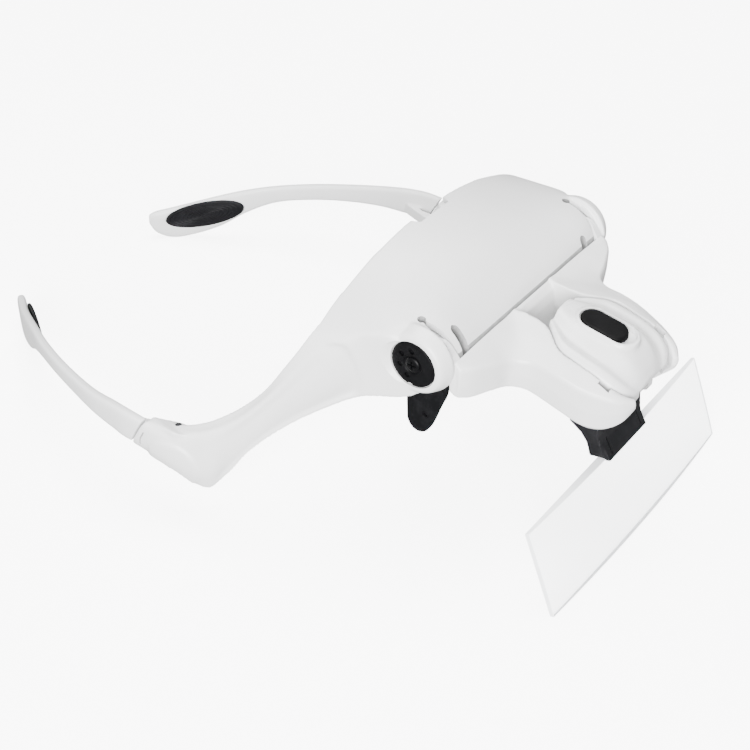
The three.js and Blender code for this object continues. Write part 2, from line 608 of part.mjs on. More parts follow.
function moduleHousing() {
  const outer = loft(moduleStations.map((s) => moduleRing(s)));
  const inner = loft(moduleStations.slice(1, -1).map((s, i, all) => {
    const hollow = [...s];
    if (i === 0) hollow[0] += 1.0;
    if (i === all.length - 1) hollow[0] += 1.6;
    hollow[5] -= 2;
    return moduleRing(hollow, 1.5);
  }));
  const { halfWidth, y0, y1, depth } = switchSlot;
  const slot = alongPad(raised(pill(halfWidth, y0, y1), -depth, 4));
  const stemSlot = raised(pill(1.3, -38.5, -29), -16, -6);
  const ledHoles = [1, -1].map((side) => ledTool(side, led.r + 0.25, -6, 8));
  const pinHoles = rodAboutX(modulePivot.r + 0.05, -30, 30, modulePivot.y, modulePivot.z, 20);
  return cut(outer, inner, slot, stemSlot, ...ledHoles, pinHoles);
}

// Rod along an LED's axis, which points forward and down.
function ledTool(side, r, from, to) {
  const aim = THREE.MathUtils.degToRad(40);
  const rod = new THREE.CylinderGeometry(r, r, to - from, 16).translate(0, -(from + to) / 2, 0);
  rod.rotateX(aim).translate(side * led.x, led.y, led.z);
  return rod;
}

function ledLamp(side) {
  const aim = THREE.MathUtils.degToRad(40);
  const profile = [[0, -2.2], [1.7, -2.2], [1.7, -1.6], [led.r, -1.6], [led.r, 1.6], [1.1, 2.6], [0, 3.0]];
  const lamp = new THREE.LatheGeometry(profile.map(([r, h]) => new THREE.Vector2(r, -h)), 16);
  lamp.rotateX(aim).translate(side * led.x, led.y, led.z);
  lamp.deleteAttribute('normal');
  lamp.deleteAttribute('uv');
  return facingOut(mergeVertices(lamp, 1e-4));
}

const door = { y0: -41.0, y1: -24.6, halfWidth: 9.4, z0: -23.9, z1: -22.75, screwY: -38.6 };

function batteryDoor() {
  const lid = raised(pill(door.halfWidth, door.y0 - 4.0, door.y1 + 2.6), door.z0, door.z1);
  return cut(lid, rodAboutZ(1.0, -26, -20, 0, door.screwY, 16));
}

function batteryDoorScrew() {
  return join(rodAboutZ(0.85, -24.6, -20.4, 0, door.screwY, 14), rodAboutZ(1.7, -24.75, -24.0, 0, door.screwY, 14));
}

const circuitBoard = () => box(-6.0, 6.0, -40.5, -26.0, -13.1, -12.4);

function buttonCell(level) {
  const z0 = cell.bottom + level * (cell.h + 0.05);
  const { r, h, y } = cell;
  const profile = [[0, z0], [r - 0.9, z0], [r, z0 + 0.5], [r, z0 + h], [0, z0 + h]];
  const disc = new THREE.LatheGeometry(profile.map(([a, b]) => new THREE.Vector2(a, b)), 24);
  disc.rotateX(Math.PI / 2).translate(0, y, 0);
  disc.deleteAttribute('normal');
  disc.deleteAttribute('uv');
  return facingOut(mergeVertices(disc, 1e-4));
}

// Bent contact leaf: a strip that stands beside the cells and folds over the stack or under it.
function contactLeaf(top) {
  const [x, z] = top ? [5.3, -13.35] : [-5.3, -22.62];
  const fold = top ? box(-1, 5.8, -31, -28.2, -13.7, z) : box(-5.8, 1, -31, -28.2, z, -22.3);
  const stand = top ? box(x, 5.8, -31, -28.2, -20, z) : box(-5.8, x, -31, -28.2, z, -13.6);
  return join(fold, stand);
}

function switchSlider() {
  const { halfWidth, y0, y1, rise } = slider;
  const cap = alongPad(raised(pill(halfWidth, y0, y1), -0.5, rise));
  const stem = raised(pill(1.0, -35.0, -29.4), -11.8, -8.6);
  return join(cap, stem);
}

// ---- lens and holder -------------------------------------------------------------------------
// Directions of the lens: down its face, and out of its front.
const lensDown = point(0, -Math.sin(lensTilt), -Math.cos(lensTilt));
const lensFront = point(0, -Math.cos(lensTilt), Math.sin(lensTilt));
const lensOrigin = point(0, lensSize.topY, lensSize.topZ);

function toLens(geometry) {
  const basis = new THREE.Matrix4().makeBasis(point(1, 0, 0), lensDown, lensFront);
  basis.setPosition(lensOrigin);
  geometry.applyMatrix4(basis);
  return facingOut(geometry.index ? geometry : mergeVertices(geometry));
}

// Plano-convex lens: flat rear, front crowned about the middle of the rectangle.
function lensBody() {
  const { halfWidth, height, edge, sag } = lensSize;
  const columns = 16;
  const rows = 4;
  const reach = halfWidth ** 2 + (height / 2) ** 2;
  const grid = Array.from({ length: columns + 1 }, (_, i) => (
    Array.from({ length: rows + 1 }, (_unused, j) => {
      const x = -halfWidth + (2 * halfWidth * i) / columns;
      const v = (height * j) / rows;
      const crown = sag * (1 - (x ** 2 + (v - height / 2) ** 2) / reach);
      return point(x, v, edge + crown);
    })
  ));
  const front = grid.map((column) => column.map((p) => p.clone()));
  const rings = front.map((column) => {
    const back = column.map((p) => point(p.x, p.y, 0)).reverse();
    return [...column, ...back];
  });
  return loft(rings);
}

function lens() {
  const { halfWidth, height, thick } = lensTab;
  const body = toLens(lensBody());
  const tab = toLens(box(-halfWidth, halfWidth, -height, 2, 0.3, 0.3 + thick));
  return join(body, tab);
}

// Side outline of the holder: round at the pin, then a flat clip that grips the lens tab.
function holderOutline() {
  const { y, z } = holderPivot;
  const r = holder.barrelR;
  const outline = [[-43.5, -42.3], [-42.2, -38.6], [-41.2, -34.6]];
  for (let i = 0; i <= 10; i += 1) {
    const a = THREE.MathUtils.degToRad(205 - i * 22);
    outline.push([y + r * Math.cos(a), z + r * Math.sin(a)]);
  }
  return [...outline, [-32.0, -32.6], [-35.7, -35.6], [-37.4, -39], [-38.6, -43.4]];
}

function lensHolder() {
  const { halfWidth } = holder;
  const body = spread(holderOutline(), -halfWidth, halfWidth);
  const tabPocket = toLens(box(
    -lensTab.halfWidth - gap, lensTab.halfWidth + gap, -lensTab.height - 0.6, 3, 0.3 - gap, 0.3 + lensTab.thick + gap,
  ));
  const seat = toLens(box(-halfWidth - 1, halfWidth + 1, -gap, 6, -1.5, 9));
  const pinHole = rodAboutX(holderPivot.r + 0.05, -20, 20, holderPivot.y, holderPivot.z, 20);
  const springSlits = [1, -1].map((side) => (
    toLens(box(side * 8.6 - 0.3, side * 8.6 + 0.3, -6.5, 2, 2.3, 9))
  ));
  return cut(body, tabPocket, seat, pinHole, ...springSlits);
}

// ---- the assembly ----------------------------------------------------------------------------
const visor = new THREE.Group();
visor.rotation.x = restLean;
const part = new THREE.Group();
part.add(visor);
part.position.copy(tablePoint).negate();

function add(name, geometry, material) {
  const mesh = new THREE.Mesh(geometry, material);
  mesh.name = name;
  visor.add(mesh);
}

const sides = [['left', (g) => g], ['right', mirrored]];

add('frame_shell', frameShell(), whitePlastic);
add('nose_bridge', noseBridge(), blackPlastic);
add('nose_bridge_screw', noseBridgeScrew(), steel);
sides.forEach(([side, place]) => {
  add(`knob_cap_${side}`, place(knobCap()), blackPlastic);
  add(`pivot_screw_${side}`, place(pivotScrew()), blackPlastic);
  add(`pivot_nut_${side}`, place(pivotNut()), brass);
  add(`nose_pad_${side}`, place(nosePad(1)), blackRubber);
  add(`hinge_pin_${side}`, place(hingePin()), steel);
  add(`temple_arm_${side}`, place(templeArm()), whitePlastic);
  add(`temple_pad_${side}`, place(templePad()), blackRubber);
  add(`module_pin_${side}`, place(modulePin()), steel);
  add(`led_${side}`, place(ledLamp(1)), ledEpoxy);
});
add('bracket_shell', bracketShell(), whitePlastic);
add('lens_holder_pin', lensHolderPin(), steel);
add('module_housing', moduleHousing(), whitePlastic);
add('battery_door', batteryDoor(), whitePlastic);
add('battery_door_screw', batteryDoorScrew(), steel);
add('circuit_board', circuitBoard(), boardGreen);
['bottom', 'middle', 'top'].forEach((place, level) => {
  add(`button_cell_${place}`, buttonCell(level), steel);
});
add('contact_leaf_positive', contactLeaf(true), brass);
add('contact_leaf_negative', contactLeaf(false), brass);
add('switch_slider', switchSlider(), blackPlastic);
add('lens_holder', lensHolder(), greyPlastic);
add('lens', lens(), clearLens);

export default part;
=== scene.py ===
# The looks of the head visor magnifier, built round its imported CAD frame.
# Shapes are made in the visor's own design space: millimetres, +Z up, -Y the wearer's front, and
# the origin on top of the plate between the two pivots. `TO_ROW` takes them into the frame.
import bmesh
import bpy
import json
import math
import numpy as np
from mathutils import Matrix, Vector


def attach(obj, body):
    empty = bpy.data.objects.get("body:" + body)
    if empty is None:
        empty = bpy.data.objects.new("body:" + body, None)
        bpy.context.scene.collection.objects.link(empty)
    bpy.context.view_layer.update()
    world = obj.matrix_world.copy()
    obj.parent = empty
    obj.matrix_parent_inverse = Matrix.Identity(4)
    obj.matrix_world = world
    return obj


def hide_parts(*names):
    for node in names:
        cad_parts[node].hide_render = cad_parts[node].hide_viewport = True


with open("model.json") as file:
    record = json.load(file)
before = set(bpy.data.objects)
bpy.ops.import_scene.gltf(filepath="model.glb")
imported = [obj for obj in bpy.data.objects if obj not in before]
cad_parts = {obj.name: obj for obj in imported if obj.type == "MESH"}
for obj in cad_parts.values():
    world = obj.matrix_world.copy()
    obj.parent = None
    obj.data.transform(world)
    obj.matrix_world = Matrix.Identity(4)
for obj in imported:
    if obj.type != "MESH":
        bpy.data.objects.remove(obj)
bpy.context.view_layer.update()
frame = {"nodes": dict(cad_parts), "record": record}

MM = 0.001
LEAN = math.radians(1.05)
TABLE_POINT = Vector((0.0, 57.6, -69.08))
TO_ROW = Matrix.Scale(MM, 4) @ Matrix.Translation(-TABLE_POINT) @ Matrix.Rotation(LEAN, 4, "X")

# ---- driving dimensions, in the design space ----
SHELL_WALL = 1.8
GAP = 0.35                              # running room between pieces that turn in each other
PIVOT_Y, PIVOT_Z, PIVOT_BORE_R = -2.0, -9.2, 2.1
BOSS_R, BOSS_X1, POCKET_R, POCKET_DEPTH = 10.0, 42.4, 6.95, 1.0
DRUM_R, DRUM_X0, DRUM_X1, DRUM_ROOM = 6.9, 34.3, 37.6, 7.25
FRAME_X0, FRAME_X1 = DRUM_X0 - GAP, DRUM_X1 + GAP       # the frame's walls beside the drum
NECK_X0 = 34.75                         # the bracket's neck lies outside this
LIP_ROOM = 9.5                          # radius about the pivots that the arms leave to the lip
KNOB_R, KNOB_X1 = 6.7, 42.55
HINGE_X, HINGE_Y, HINGE_TOP, HINGE_BOTTOM = 67.6, 58.7, -41.4, -54.2
HINGE_BORE_R = 1.0
KNUCKLE_TOP, KNUCKLE_BOTTOM, KNUCKLE_R = -46.2, -50.0, 1.9
MODULE_PIN_Y, MODULE_PIN_Z, MODULE_BORE_R = -43.0, -19.5, 1.25
HOLDER_PIN_Y, HOLDER_PIN_Z, HOLDER_BORE_R = -37.2, -29.6, 1.15
LENS_TILT = math.radians(21.5)
LENS_TOP = np.array((0.0, -40.3, -43.8))
LENS_HALF_WIDTH, LENS_HEIGHT, LENS_EDGE, LENS_SAG = 46.2, 26.2, 1.2, 2.0
PAD_SLOPE, PAD_Y, PAD_Z = 0.16, -33.5, -8.15


# ---- curves ----
def spline(points, count):
    """Smooth curve through the points, at count + 1 even parameter steps (centripetal)."""
    p = np.asarray(points, float)
    last = len(p) - 1
    out = []
    for t in np.linspace(0, last, count + 1):
        i = min(int(t), last - 1)
        w = t - i
        p1, p2 = p[i], p[i + 1]
        p0 = p[i - 1] if i > 0 else 2 * p1 - p2
        p3 = p[i + 2] if i + 2 <= last else 2 * p2 - p1
        d0, d1, d2 = (max(np.linalg.norm(d), 1e-9) ** 0.5 for d in (p1 - p0, p2 - p1, p3 - p2))
        t1 = ((p1 - p0) / d0 - (p2 - p0) / (d0 + d1) + (p2 - p1) / d1) * d1
        t2 = ((p2 - p1) / d1 - (p3 - p1) / (d1 + d2) + (p3 - p2) / d2) * d1
        c2 = -3 * p1 + 3 * p2 - 2 * t1 - t2
        c3 = 2 * p1 - 2 * p2 + t1 + t2
        out.append(p1 + t1 * w + c2 * w * w + c3 * w ** 3)
    return np.array(out)


def arc(cx, cy, r, start, end, steps):
    angles = np.radians(np.linspace(start, end, steps + 1))
    return [(cx + r * math.cos(a), cy + r * math.sin(a)) for a in angles]


def circle(steps):
    """Even angles once round, in radians."""
    return np.arange(steps) / steps * 2 * math.pi


def within(values, *spans):
    """Whether each value lies inside its own (low, high) span."""
    return all(low < value < high for value, (low, high) in zip(values, spans))


def pill(half_width, y0, y1, steps=16):
    """Plan outline with round ends, long in Y."""
    return (arc(0, y1 - half_width, half_width, 0, 180, steps)
            + arc(0, y0 + half_width, half_width, 180, 360, steps))


# ---- meshes ----
def mesh_object(name, points, faces):
    mesh = bpy.data.meshes.new(name)
    mesh.from_pydata([tuple(p) for p in points], [], [tuple(f) for f in faces])
    mesh.validate()
    piece = bpy.data.objects.new(name, mesh)
    bpy.context.scene.collection.objects.link(piece)
    outward(piece)
    return piece


def outward(piece):
    """Turns a closed mesh's faces outwards."""
    bm = bmesh.new()
    bm.from_mesh(piece.data)
    bmesh.ops.recalc_face_normals(bm, faces=bm.faces)
    bm.to_mesh(piece.data)
    bm.free()


def loft(name, rings):
    """Closed solid through rings of equal length."""
    rings = [np.asarray(r, float) for r in rings]
    n = len(rings[0])
    points = np.concatenate(rings)
    faces = []
    for i in range(len(rings) - 1):
        for j in range(n):
            k = (j + 1) % n
            faces.append((i * n + j, i * n + k, (i + 1) * n + k, (i + 1) * n + j))
    faces.append(tuple(range(n))[::-1])
    faces.append(tuple((len(rings) - 1) * n + j for j in range(n)))
    return mesh_object(name, points, faces)


def skin_normals(grid):
    """Outward unit normals of a grid of surface points."""
    normal = np.cross(np.gradient(grid, axis=1), np.gradient(grid, axis=0))
    return normal / np.linalg.norm(normal, axis=2, keepdims=True)


def shell(name, grid, thickness):
    """Closed sheet of even thickness under a grid of outer points."""
    grid = np.asarray(grid, float)
    inner = grid - skin_normals(grid) * thickness
    rows, columns = grid.shape[:2]
    half = rows * columns
    points = np.concatenate([grid.reshape(-1, 3), inner.reshape(-1, 3)])
    faces = []
    for i in range(rows - 1):
        for j in range(columns - 1):
            a = i * columns + j
            quad = (a, a + columns, a + columns + 1, a + 1)
            faces.append(quad)
            faces.append(tuple(half + q for q in reversed(quad)))
    edge = list(range(columns))
    edge += [i * columns + columns - 1 for i in range(1, rows)]
    edge += [(rows - 1) * columns + j for j in range(columns - 2, -1, -1)]
    edge += [i * columns for i in range(rows - 2, 0, -1)]
    for a, b in zip(edge, edge[1:] + edge[:1]):
        faces.append((a, b, half + b, half + a))
    return mesh_object(name, points, faces)


def prism(name, outline, low, high):
    """Outline in plan, raised along Z."""
    return loft(name, [[(x, y, z) for x, y in outline] for z in (low, high)])


def block(name, x0, x1, y0, y1, z0, z1):
    return prism(name, [(x0, y0), (x1, y0), (x1, y1), (x0, y1)], z0, z1)


def turned(name, profile, y=PIVOT_Y, z=PIVOT_Z, steps=96):
    """Solid of revolution about an X-parallel axis; profile rows are (radius, x)."""
    rings = [[(x, y + r * math.cos(a), z + r * math.sin(a)) for a in circle(steps)] for r, x in profile]
    return loft(name, rings)


def rod_x(name, r, x0, x1, y=PIVOT_Y, z=PIVOT_Z, steps=64):
    return turned(name, [(r, x0), (r, x1)], y, z, steps)


def rod_z(name, r, z0, z1, x, y, steps=32):
    outline = arc(0, 0, r, 0, 360 - 360 / steps, steps - 1)
    return prism(name, [(x + a, y + b) for a, b in outline], z0, z1)


def smoothed(piece, sharp):
    """Smooth shading, except over edges sharper than an angle in degrees."""
    piece.data.polygons.foreach_set("use_smooth", [True] * len(piece.data.polygons))
    piece.data.set_sharp_from_angle(angle=math.radians(sharp))


def remove(piece):
    mesh = piece.data
    bpy.data.objects.remove(piece)
    bpy.data.meshes.remove(mesh)


def bake(piece):
    """Applies every modifier on the piece."""
    graph = bpy.context.evaluated_depsgraph_get()
    mesh = bpy.data.meshes.new_from_object(piece.evaluated_get(graph))
    old = piece.data
    piece.modifiers.clear()
    piece.data = mesh
    bpy.data.meshes.remove(old)
    return piece


def united(pieces):
    """Several overlapping solids as one mesh, for a remesh to fuse."""
    base = pieces[0]
    bm = bmesh.new()
    for p in pieces:
        bm.from_mesh(p.data)
    bm.to_mesh(base.data)
    bm.free()
    for p in pieces[1:]:
        remove(p)
    return base


def fused(piece, voxel, smoothing):
    """Fuses the solids in a mesh and rounds its edges."""
    remesh = piece.modifiers.new("fuse", "REMESH")
    remesh.mode = "VOXEL"
    remesh.voxel_size = voxel
    smooth = piece.modifiers.new("soften", "SMOOTH")
    smooth.factor = 0.5
    smooth.iterations = smoothing
    return bake(piece)


def cut(piece, tools, operation="DIFFERENCE"):
    """Takes every tool off the piece, or adds it with the operation UNION."""
    for tool in tools:
        boolean = piece.modifiers.new("cut", "BOOLEAN")
        boolean.operation = operation
        boolean.solver = "MANIFOLD"
        boolean.object = tool
        bake(piece)
        remove(tool)
    return piece


def bevelled(piece, width, angle=32):
    bevel = piece.modifiers.new("edge", "BEVEL")
    bevel.width = width
    bevel.segments = 2
    bevel.limit_method = "ANGLE"
    bevel.angle_limit = math.radians(angle)
    return bake(piece)


def mirrored(piece, name):
    other = bpy.data.objects.new(name, piece.data.copy())
    bpy.context.scene.collection.objects.link(other)
    other.data.transform(Matrix.Scale(-1, 4, (1, 0, 0)))
    outward(other)
    return other


def place(piece, body, slot, material, *nodes, sharp=35):
    """Puts a finished piece into the frame, in place of CAD nodes."""
    piece.data.transform(TO_ROW)
    piece.data.materials.clear()
    piece.data.materials.append(material)
    smoothed(piece, sharp)
    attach(piece, body)
    if nodes:
        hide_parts(*nodes)
    return piece


def paint_shade(piece, inside):
    """Paints shade on a placed piece: the dark painted-shade material wherever the test on a design-space
    point says so.
    """
    piece.data.materials.append(PAINTED_SHADE)
    to_design = TO_ROW.inverted()
    for face in piece.data.polygons:
        if inside(to_design @ face.center):
            face.material_index = 1


# ---- materials ----
def material(name, color, roughness):
    made = bpy.data.materials.new(name)
    made.use_nodes = True
    shader = made.node_tree.nodes["Principled BSDF"]
    sockets(shader, Base_Color=(*color, 1), Roughness=roughness)
    return made, made.node_tree, shader


def sockets(node, **values):
    """Sets a node's constants; an underscore in a key stands for a space in the socket's name."""
    for key, value in values.items():
        node.inputs[key.replace("_", " ")].default_value = value


def object_mapping(tree, key, value):
    """The piece's own coordinates, turned (Rotation) or stretched (Scale)."""
    coordinates = tree.nodes.new("ShaderNodeTexCoord")
    mapping = tree.nodes.new("ShaderNodeMapping")
    sockets(mapping, **{key: value})
    tree.links.new(coordinates.outputs["Object"], mapping.inputs["Vector"])
    return mapping.outputs["Vector"]


def object_noise(tree, scale, detail, roughness=0.5, stretch=(1, 1, 1)):
    noise = tree.nodes.new("ShaderNodeTexNoise")
    sockets(noise, Scale=scale, Detail=detail, Roughness=roughness)
    tree.links.new(object_mapping(tree, "Scale", stretch), noise.inputs["Vector"])
    return noise.outputs["Fac"]


def mapped(tree, value, low, high, new_low, new_high):
    node = tree.nodes.new("ShaderNodeMapRange")
    sockets(node, From_Min=low, From_Max=high, To_Min=new_low, To_Max=new_high)
    tree.links.new(value, node.inputs["Value"])
    return node.outputs["Result"]


def bump(tree, shader, height, strength, distance):
    node = tree.nodes.new("ShaderNodeBump")
    sockets(node, Strength=strength, Distance=distance)
    tree.links.new(height, node.inputs["Height"])
    tree.links.new(node.outputs["Normal"], shader.inputs["Normal"])


def tinted(tree, shader, dark, light, noise, low, high):
    """Base colour between two, by where the noise lies in its span."""
    mix = tree.nodes.new("ShaderNodeMix")
    mix.data_type = "RGBA"
    mix.inputs[6].default_value = (*dark, 1)
    mix.inputs[7].default_value = (*light, 1)
    tree.links.new(mapped(tree, noise, low, high, 0, 1), mix.inputs[0])
    tree.links.new(mix.outputs[2], shader.inputs["Base Color"])


def roughened(tree, shader, noise, low, high, smoothest, roughest):
    """Roughness between two, by where the noise lies in its span."""
    tree.links.new(mapped(tree, noise, low, high, smoothest, roughest), shader.inputs["Roughness"])


def white_abs(name, roughness):
    """Satin white moulded plastic: faint flow shading, fine grain and handling smudges."""
    made, tree, shader = material(name, (0.76, 0.76, 0.76), roughness)
    sockets(shader, IOR=1.5, Coat_Weight=0.15, Coat_Roughness=0.2)
    flow, smudges = object_noise(tree, 28, 3), object_noise(tree, 70, 4, 0.6)
    tinted(tree, shader, (0.745, 0.748, 0.752), (0.775, 0.775, 0.772), flow, 0.35, 0.65)
    roughened(tree, shader, smudges, 0.3, 0.7, roughness - 0.05, roughness + 0.07)
    bump(tree, shader, object_noise(tree, 2600, 2), 0.10, 0.00006)
    return made


def painted_shade_grey():
    """Painted shade: dark grey that stands in for the shade inside slots, seams and pockets, with a faint
    random dust tone.
    """
    made, tree, shader = material("painted_shade_grey", (0.3, 0.3, 0.3), 0.6)
    sockets(shader, Specular_IOR_Level=0.2)
    dust = object_noise(tree, 500, 3)
    tinted(tree, shader, (0.26, 0.26, 0.26), (0.34, 0.34, 0.34), dust, 0.35, 0.65)
    bump(tree, shader, object_noise(tree, 1400, 2), 0.2, 0.00004)
    return made


def black_moulded(name, color, roughness, grain, depth):
    """Black moulded plastic with a spark-eroded grain and paler rubbed patches."""
    made, tree, shader = material(name, color, roughness)
    sockets(shader, Specular_IOR_Level=0.1)
    pale = tuple(c * 1.6 + 0.001 for c in color)
    tinted(tree, shader, color, pale, object_noise(tree, 160, 4, 0.6), 0.45, 0.75)
    roughened(tree, shader, object_noise(tree, 260, 3), 0.3, 0.7, roughness - 0.08, roughness + 0.1)
    bump(tree, shader, object_noise(tree, grain, 3), 0.35, depth)
    return made


def ribbed_rubber(name, pitch, direction):
    """Soft black rubber with fine moulded ribs across one direction of the piece."""
    made, tree, shader = material(name, (0.004, 0.004, 0.005), 0.6)
    sockets(shader, Specular_IOR_Level=0.06)
    wave = tree.nodes.new("ShaderNodeTexWave")
    sockets(wave, Scale=1 / (pitch * 3.1416), Distortion=0)
    tree.links.new(object_mapping(tree, "Rotation", direction), wave.inputs["Vector"])
    dust = object_noise(tree, 300, 4, 0.65)
    tinted(tree, shader, (0.0035, 0.0035, 0.004), (0.009, 0.009, 0.01), dust, 0.4, 0.75)
    bump(tree, shader, wave.outputs["Fac"], 0.6, 0.00025)
    return made


def metal(name, color, roughness, stretch):
    """Plain turned or rolled metal with fine drawn lines."""
    made, tree, shader = material(name, color, roughness)
    sockets(shader, Metallic=1)
    lines = object_noise(tree, 900, 3, stretch=stretch)
    roughened(tree, shader, lines, 0.3, 0.7, roughness - 0.08, roughness + 0.12)
    bump(tree, shader, lines, 0.2, 0.00003)
    return made


def clear_acrylic():
    """Clear polished acrylic with faint hairlines."""
    made, tree, shader = material("lens_acrylic", (0.805, 0.81, 0.815), 0.02)
    sockets(shader, Transmission_Weight=1, IOR=1.49)
    roughened(tree, shader, object_noise(tree, 420, 5, 0.7), 0.55, 0.8, 0.012, 0.07)
    return made


PAINTED_EDGE_GLOW = 1.1                 # strength of the painted light given off at the lens's cut edges, standing in for the light an edge-lit clear sheet pipes out


def satin_acrylic_painted_glow():
    """Cut edge of the lens: pale, satin and streaked, with a painted glow that stands in for the light of an
    edge-lit sheet.
    """
    made, tree, shader = material("lens_edge", (0.78, 0.79, 0.8), 0.4)
    sockets(shader, Specular_IOR_Level=0.3)
    # painted light: the cut edges glow, though they are no lamp
    sockets(shader, Emission_Color=(0.92, 0.94, 0.97, 1), Emission_Strength=PAINTED_EDGE_GLOW)
    streaks = object_noise(tree, 240, 4, 0.6)
    tinted(tree, shader, (0.78, 0.79, 0.8), (0.9, 0.91, 0.92), streaks, 0.35, 0.7)
    bump(tree, shader, object_noise(tree, 1400, 2), 0.2, 0.00005)
    return made


def lamp_epoxy():
    """Clear lamp body with a pale yellow phosphor in it."""
    made, tree, shader = material("led_epoxy", (0.95, 0.93, 0.75), 0.08)
    sockets(shader, Transmission_Weight=0.6, IOR=1.53)
    spots = object_noise(tree, 900, 2)
    tinted(tree, shader, (0.95, 0.9, 0.6), (0.97, 0.96, 0.9), spots, 0.4, 0.6)
    return made


def board_green():
    """Green circuit board with a woven glass grain."""
    made, tree, shader = material("board_green", (0.02, 0.16, 0.06), 0.45)
    weave = object_noise(tree, 1500, 2)
    tinted(tree, shader, (0.015, 0.12, 0.05), (0.03, 0.2, 0.08), weave, 0.35, 0.65)
    bump(tree, shader, object_noise(tree, 1800, 2), 0.3, 0.00005)
    return made


WHITE = white_abs("white_abs", 0.34)
WHITE_MODULE = white_abs("white_module_abs", 0.26)
# dark grey painted shade for the insides of slots, seams and pockets
PAINTED_SHADE = painted_shade_grey()
BLACK = black_moulded("black_moulded", (0.002, 0.002, 0.0024), 0.42, 1500, 0.00005)
SWITCH_BLACK = black_moulded("switch_black", (0.001, 0.001, 0.0012), 0.6, 1900, 0.00004)
HOLDER_GREY = black_moulded("holder_grey", (0.008, 0.008, 0.009), 0.38, 1300, 0.00005)
NOSE_RUBBER = ribbed_rubber("nose_rubber", 0.0011, (math.radians(35), 0, 0))
TEMPLE_RUBBER = black_moulded("temple_rubber", (0.006, 0.006, 0.007), 0.55, 1200, 0.00006)
STEEL = metal("steel", (0.6, 0.6, 0.61), 0.3, (1, 1, 6))
STEEL_DARK = metal("steel_dark", (0.05, 0.05, 0.052), 0.45, (1, 1, 6))
BRASS = metal("brass", (0.75, 0.56, 0.24), 0.32, (4, 1, 1))
CLEAR = clear_acrylic()
CLEAR_EDGE = satin_acrylic_painted_glow()
EPOXY = lamp_epoxy()
BOARD = board_green()

NODE_FINISH = {
    "white_shell": WHITE, "white_module": WHITE_MODULE, "black_plastic": BLACK,
    "black_switch": SWITCH_BLACK, "dark_grey_plastic": HOLDER_GREY, "black_rubber": NOSE_RUBBER,
    "steel": STEEL, "brass": BRASS, "board": BOARD, "lens_acrylic": CLEAR, "led_epoxy": EPOXY,
}


CAD_SHARP = 28


def finish_cad_nodes():
    """Gives every carried-over CAD node its material."""
    for part in frame["record"]["subparts"]:
        node = frame["nodes"][part["node"]]
        node.data.materials.clear()
        node.data.materials.append(NODE_FINISH[part["material_slot"]])
        smoothed(node, CAD_SHARP)


# ---- frame ----
# Ribs of the left half, from the middle of the plate out to the hinge, each from the rear or
# inner top edge, over the crease, to the front lip or lower edge.
FRAME_RIBS = [
    [(0, 23.5, 7.4), (0, 13, 6.1), (0, 2, 3.5), (0, -5.6, -1), (0, -9.7, -4.9), (0, -11, -9)],
    [(11, 23.6, 6.8), (11, 13, 5.6), (11, 2, 3.1), (11, -5.7, -1.1), (11, -9.7, -4.9), (11, -10.9, -7.6)],
    [(22, 23.9, 4.9), (22, 13, 4), (22, 2, 2.2), (22, -5.8, -1.2), (22, -9.7, -4.9), (22, -10.9, -7.7)],
    [(33, 24.2, 1.5), (33.5, 13, 1.5), (34, 1, 0.7), (34, -5.8, -1.2), (33.8, -9.6, -4.9), (33.5, -10.9, -8)],
    [(41, 24.5, -1.8), (40.7, 13, -0.9), (40.4, 2, -0.7), (40, -5, -2.2), (39.8, -9, -6.5), (39.6, -10, -11)],
    [(46.5, 24.7, -4.8), (44.8, 14.5, -3.2), (43, 4, -1.9), (42.3, -1, -7), (42, -3, -13), (41.8, -1, -20.4)],
    [(50, 25.6, -7.4), (48.3, 18.8, -6.2), (46.2, 12.6, -4.9), (45.4, 10.6, -11), (45.2, 10.4, -17.5),
     (45.8, 12.4, -24.5)],
    [(52.6, 27.7, -12), (51.8, 23.6, -11), (50.9, 19.8, -10), (51.6, 18.8, -15.6), (51.8, 18.9, -22.2),
     (51.3, 20.8, -29.3)],
    [(54.7, 31, -17.8), (54.9, 28.7, -17.6), (54.9, 26.6, -16.9), (56, 26, -22.2), (56.5, 26.8, -28.7),
     (56.2, 28.5, -35.2)],
    [(57.4, 36, -26), (58.4, 34.7, -26.4), (59.5, 33.6, -26.3), (60.8, 33.8, -32), (61.6, 35.2, -38.6),
     (61.7, 37, -44)],
    [(61.2, 43.6, -34), (62.8, 42.3, -34.8), (64.2, 41.2, -34.9), (65.4, 41.5, -41), (66, 42.8, -49),
     (65.7, 44.2, -54.8)],
    [(65.5, 52.6, -39.9), (67.2, 51, -40.2), (68.7, 49.6, -40.1), (69.6, 48.8, -46), (69.7, 48.3, -53.5),
     (68.5, 49.2, -60)],
    [(68.2, 60.6, -42), (70.4, 59.6, -42), (72, 58.4, -42.2), (72.9, 58, -46), (72.9, 57.8, -51),
     (71.9, 58, -55)],
    [(70, 66.3, -41.5), (72.1, 66.3, -41.3), (73.6, 66.8, -41.8), (74, 68.6, -45), (73.9, 70.8, -49),
     (73.2, 72.2, -51.4)],
]
CREASE = 2                      # the rib point that the crease runs through
CREASE_FROM, CREASE_RADIUS = 5, 0.9     # the first rib with a crisp crease


def tightened(rib, index):
    """Puts two points close to the crease in its place, so that it stays crisp along the wings."""
    p = np.array(rib, float)
    if index < CREASE_FROM:
        return p
    close = []
    for step in (p[CREASE - 1] - p[CREASE], p[CREASE + 1] - p[CREASE]):
        length = np.linalg.norm(step)
        close.append(p[CREASE] + step / length * min(CREASE_RADIUS, 0.45 * length))
    return [*p[:CREASE], *close, *p[CREASE + 1:]]


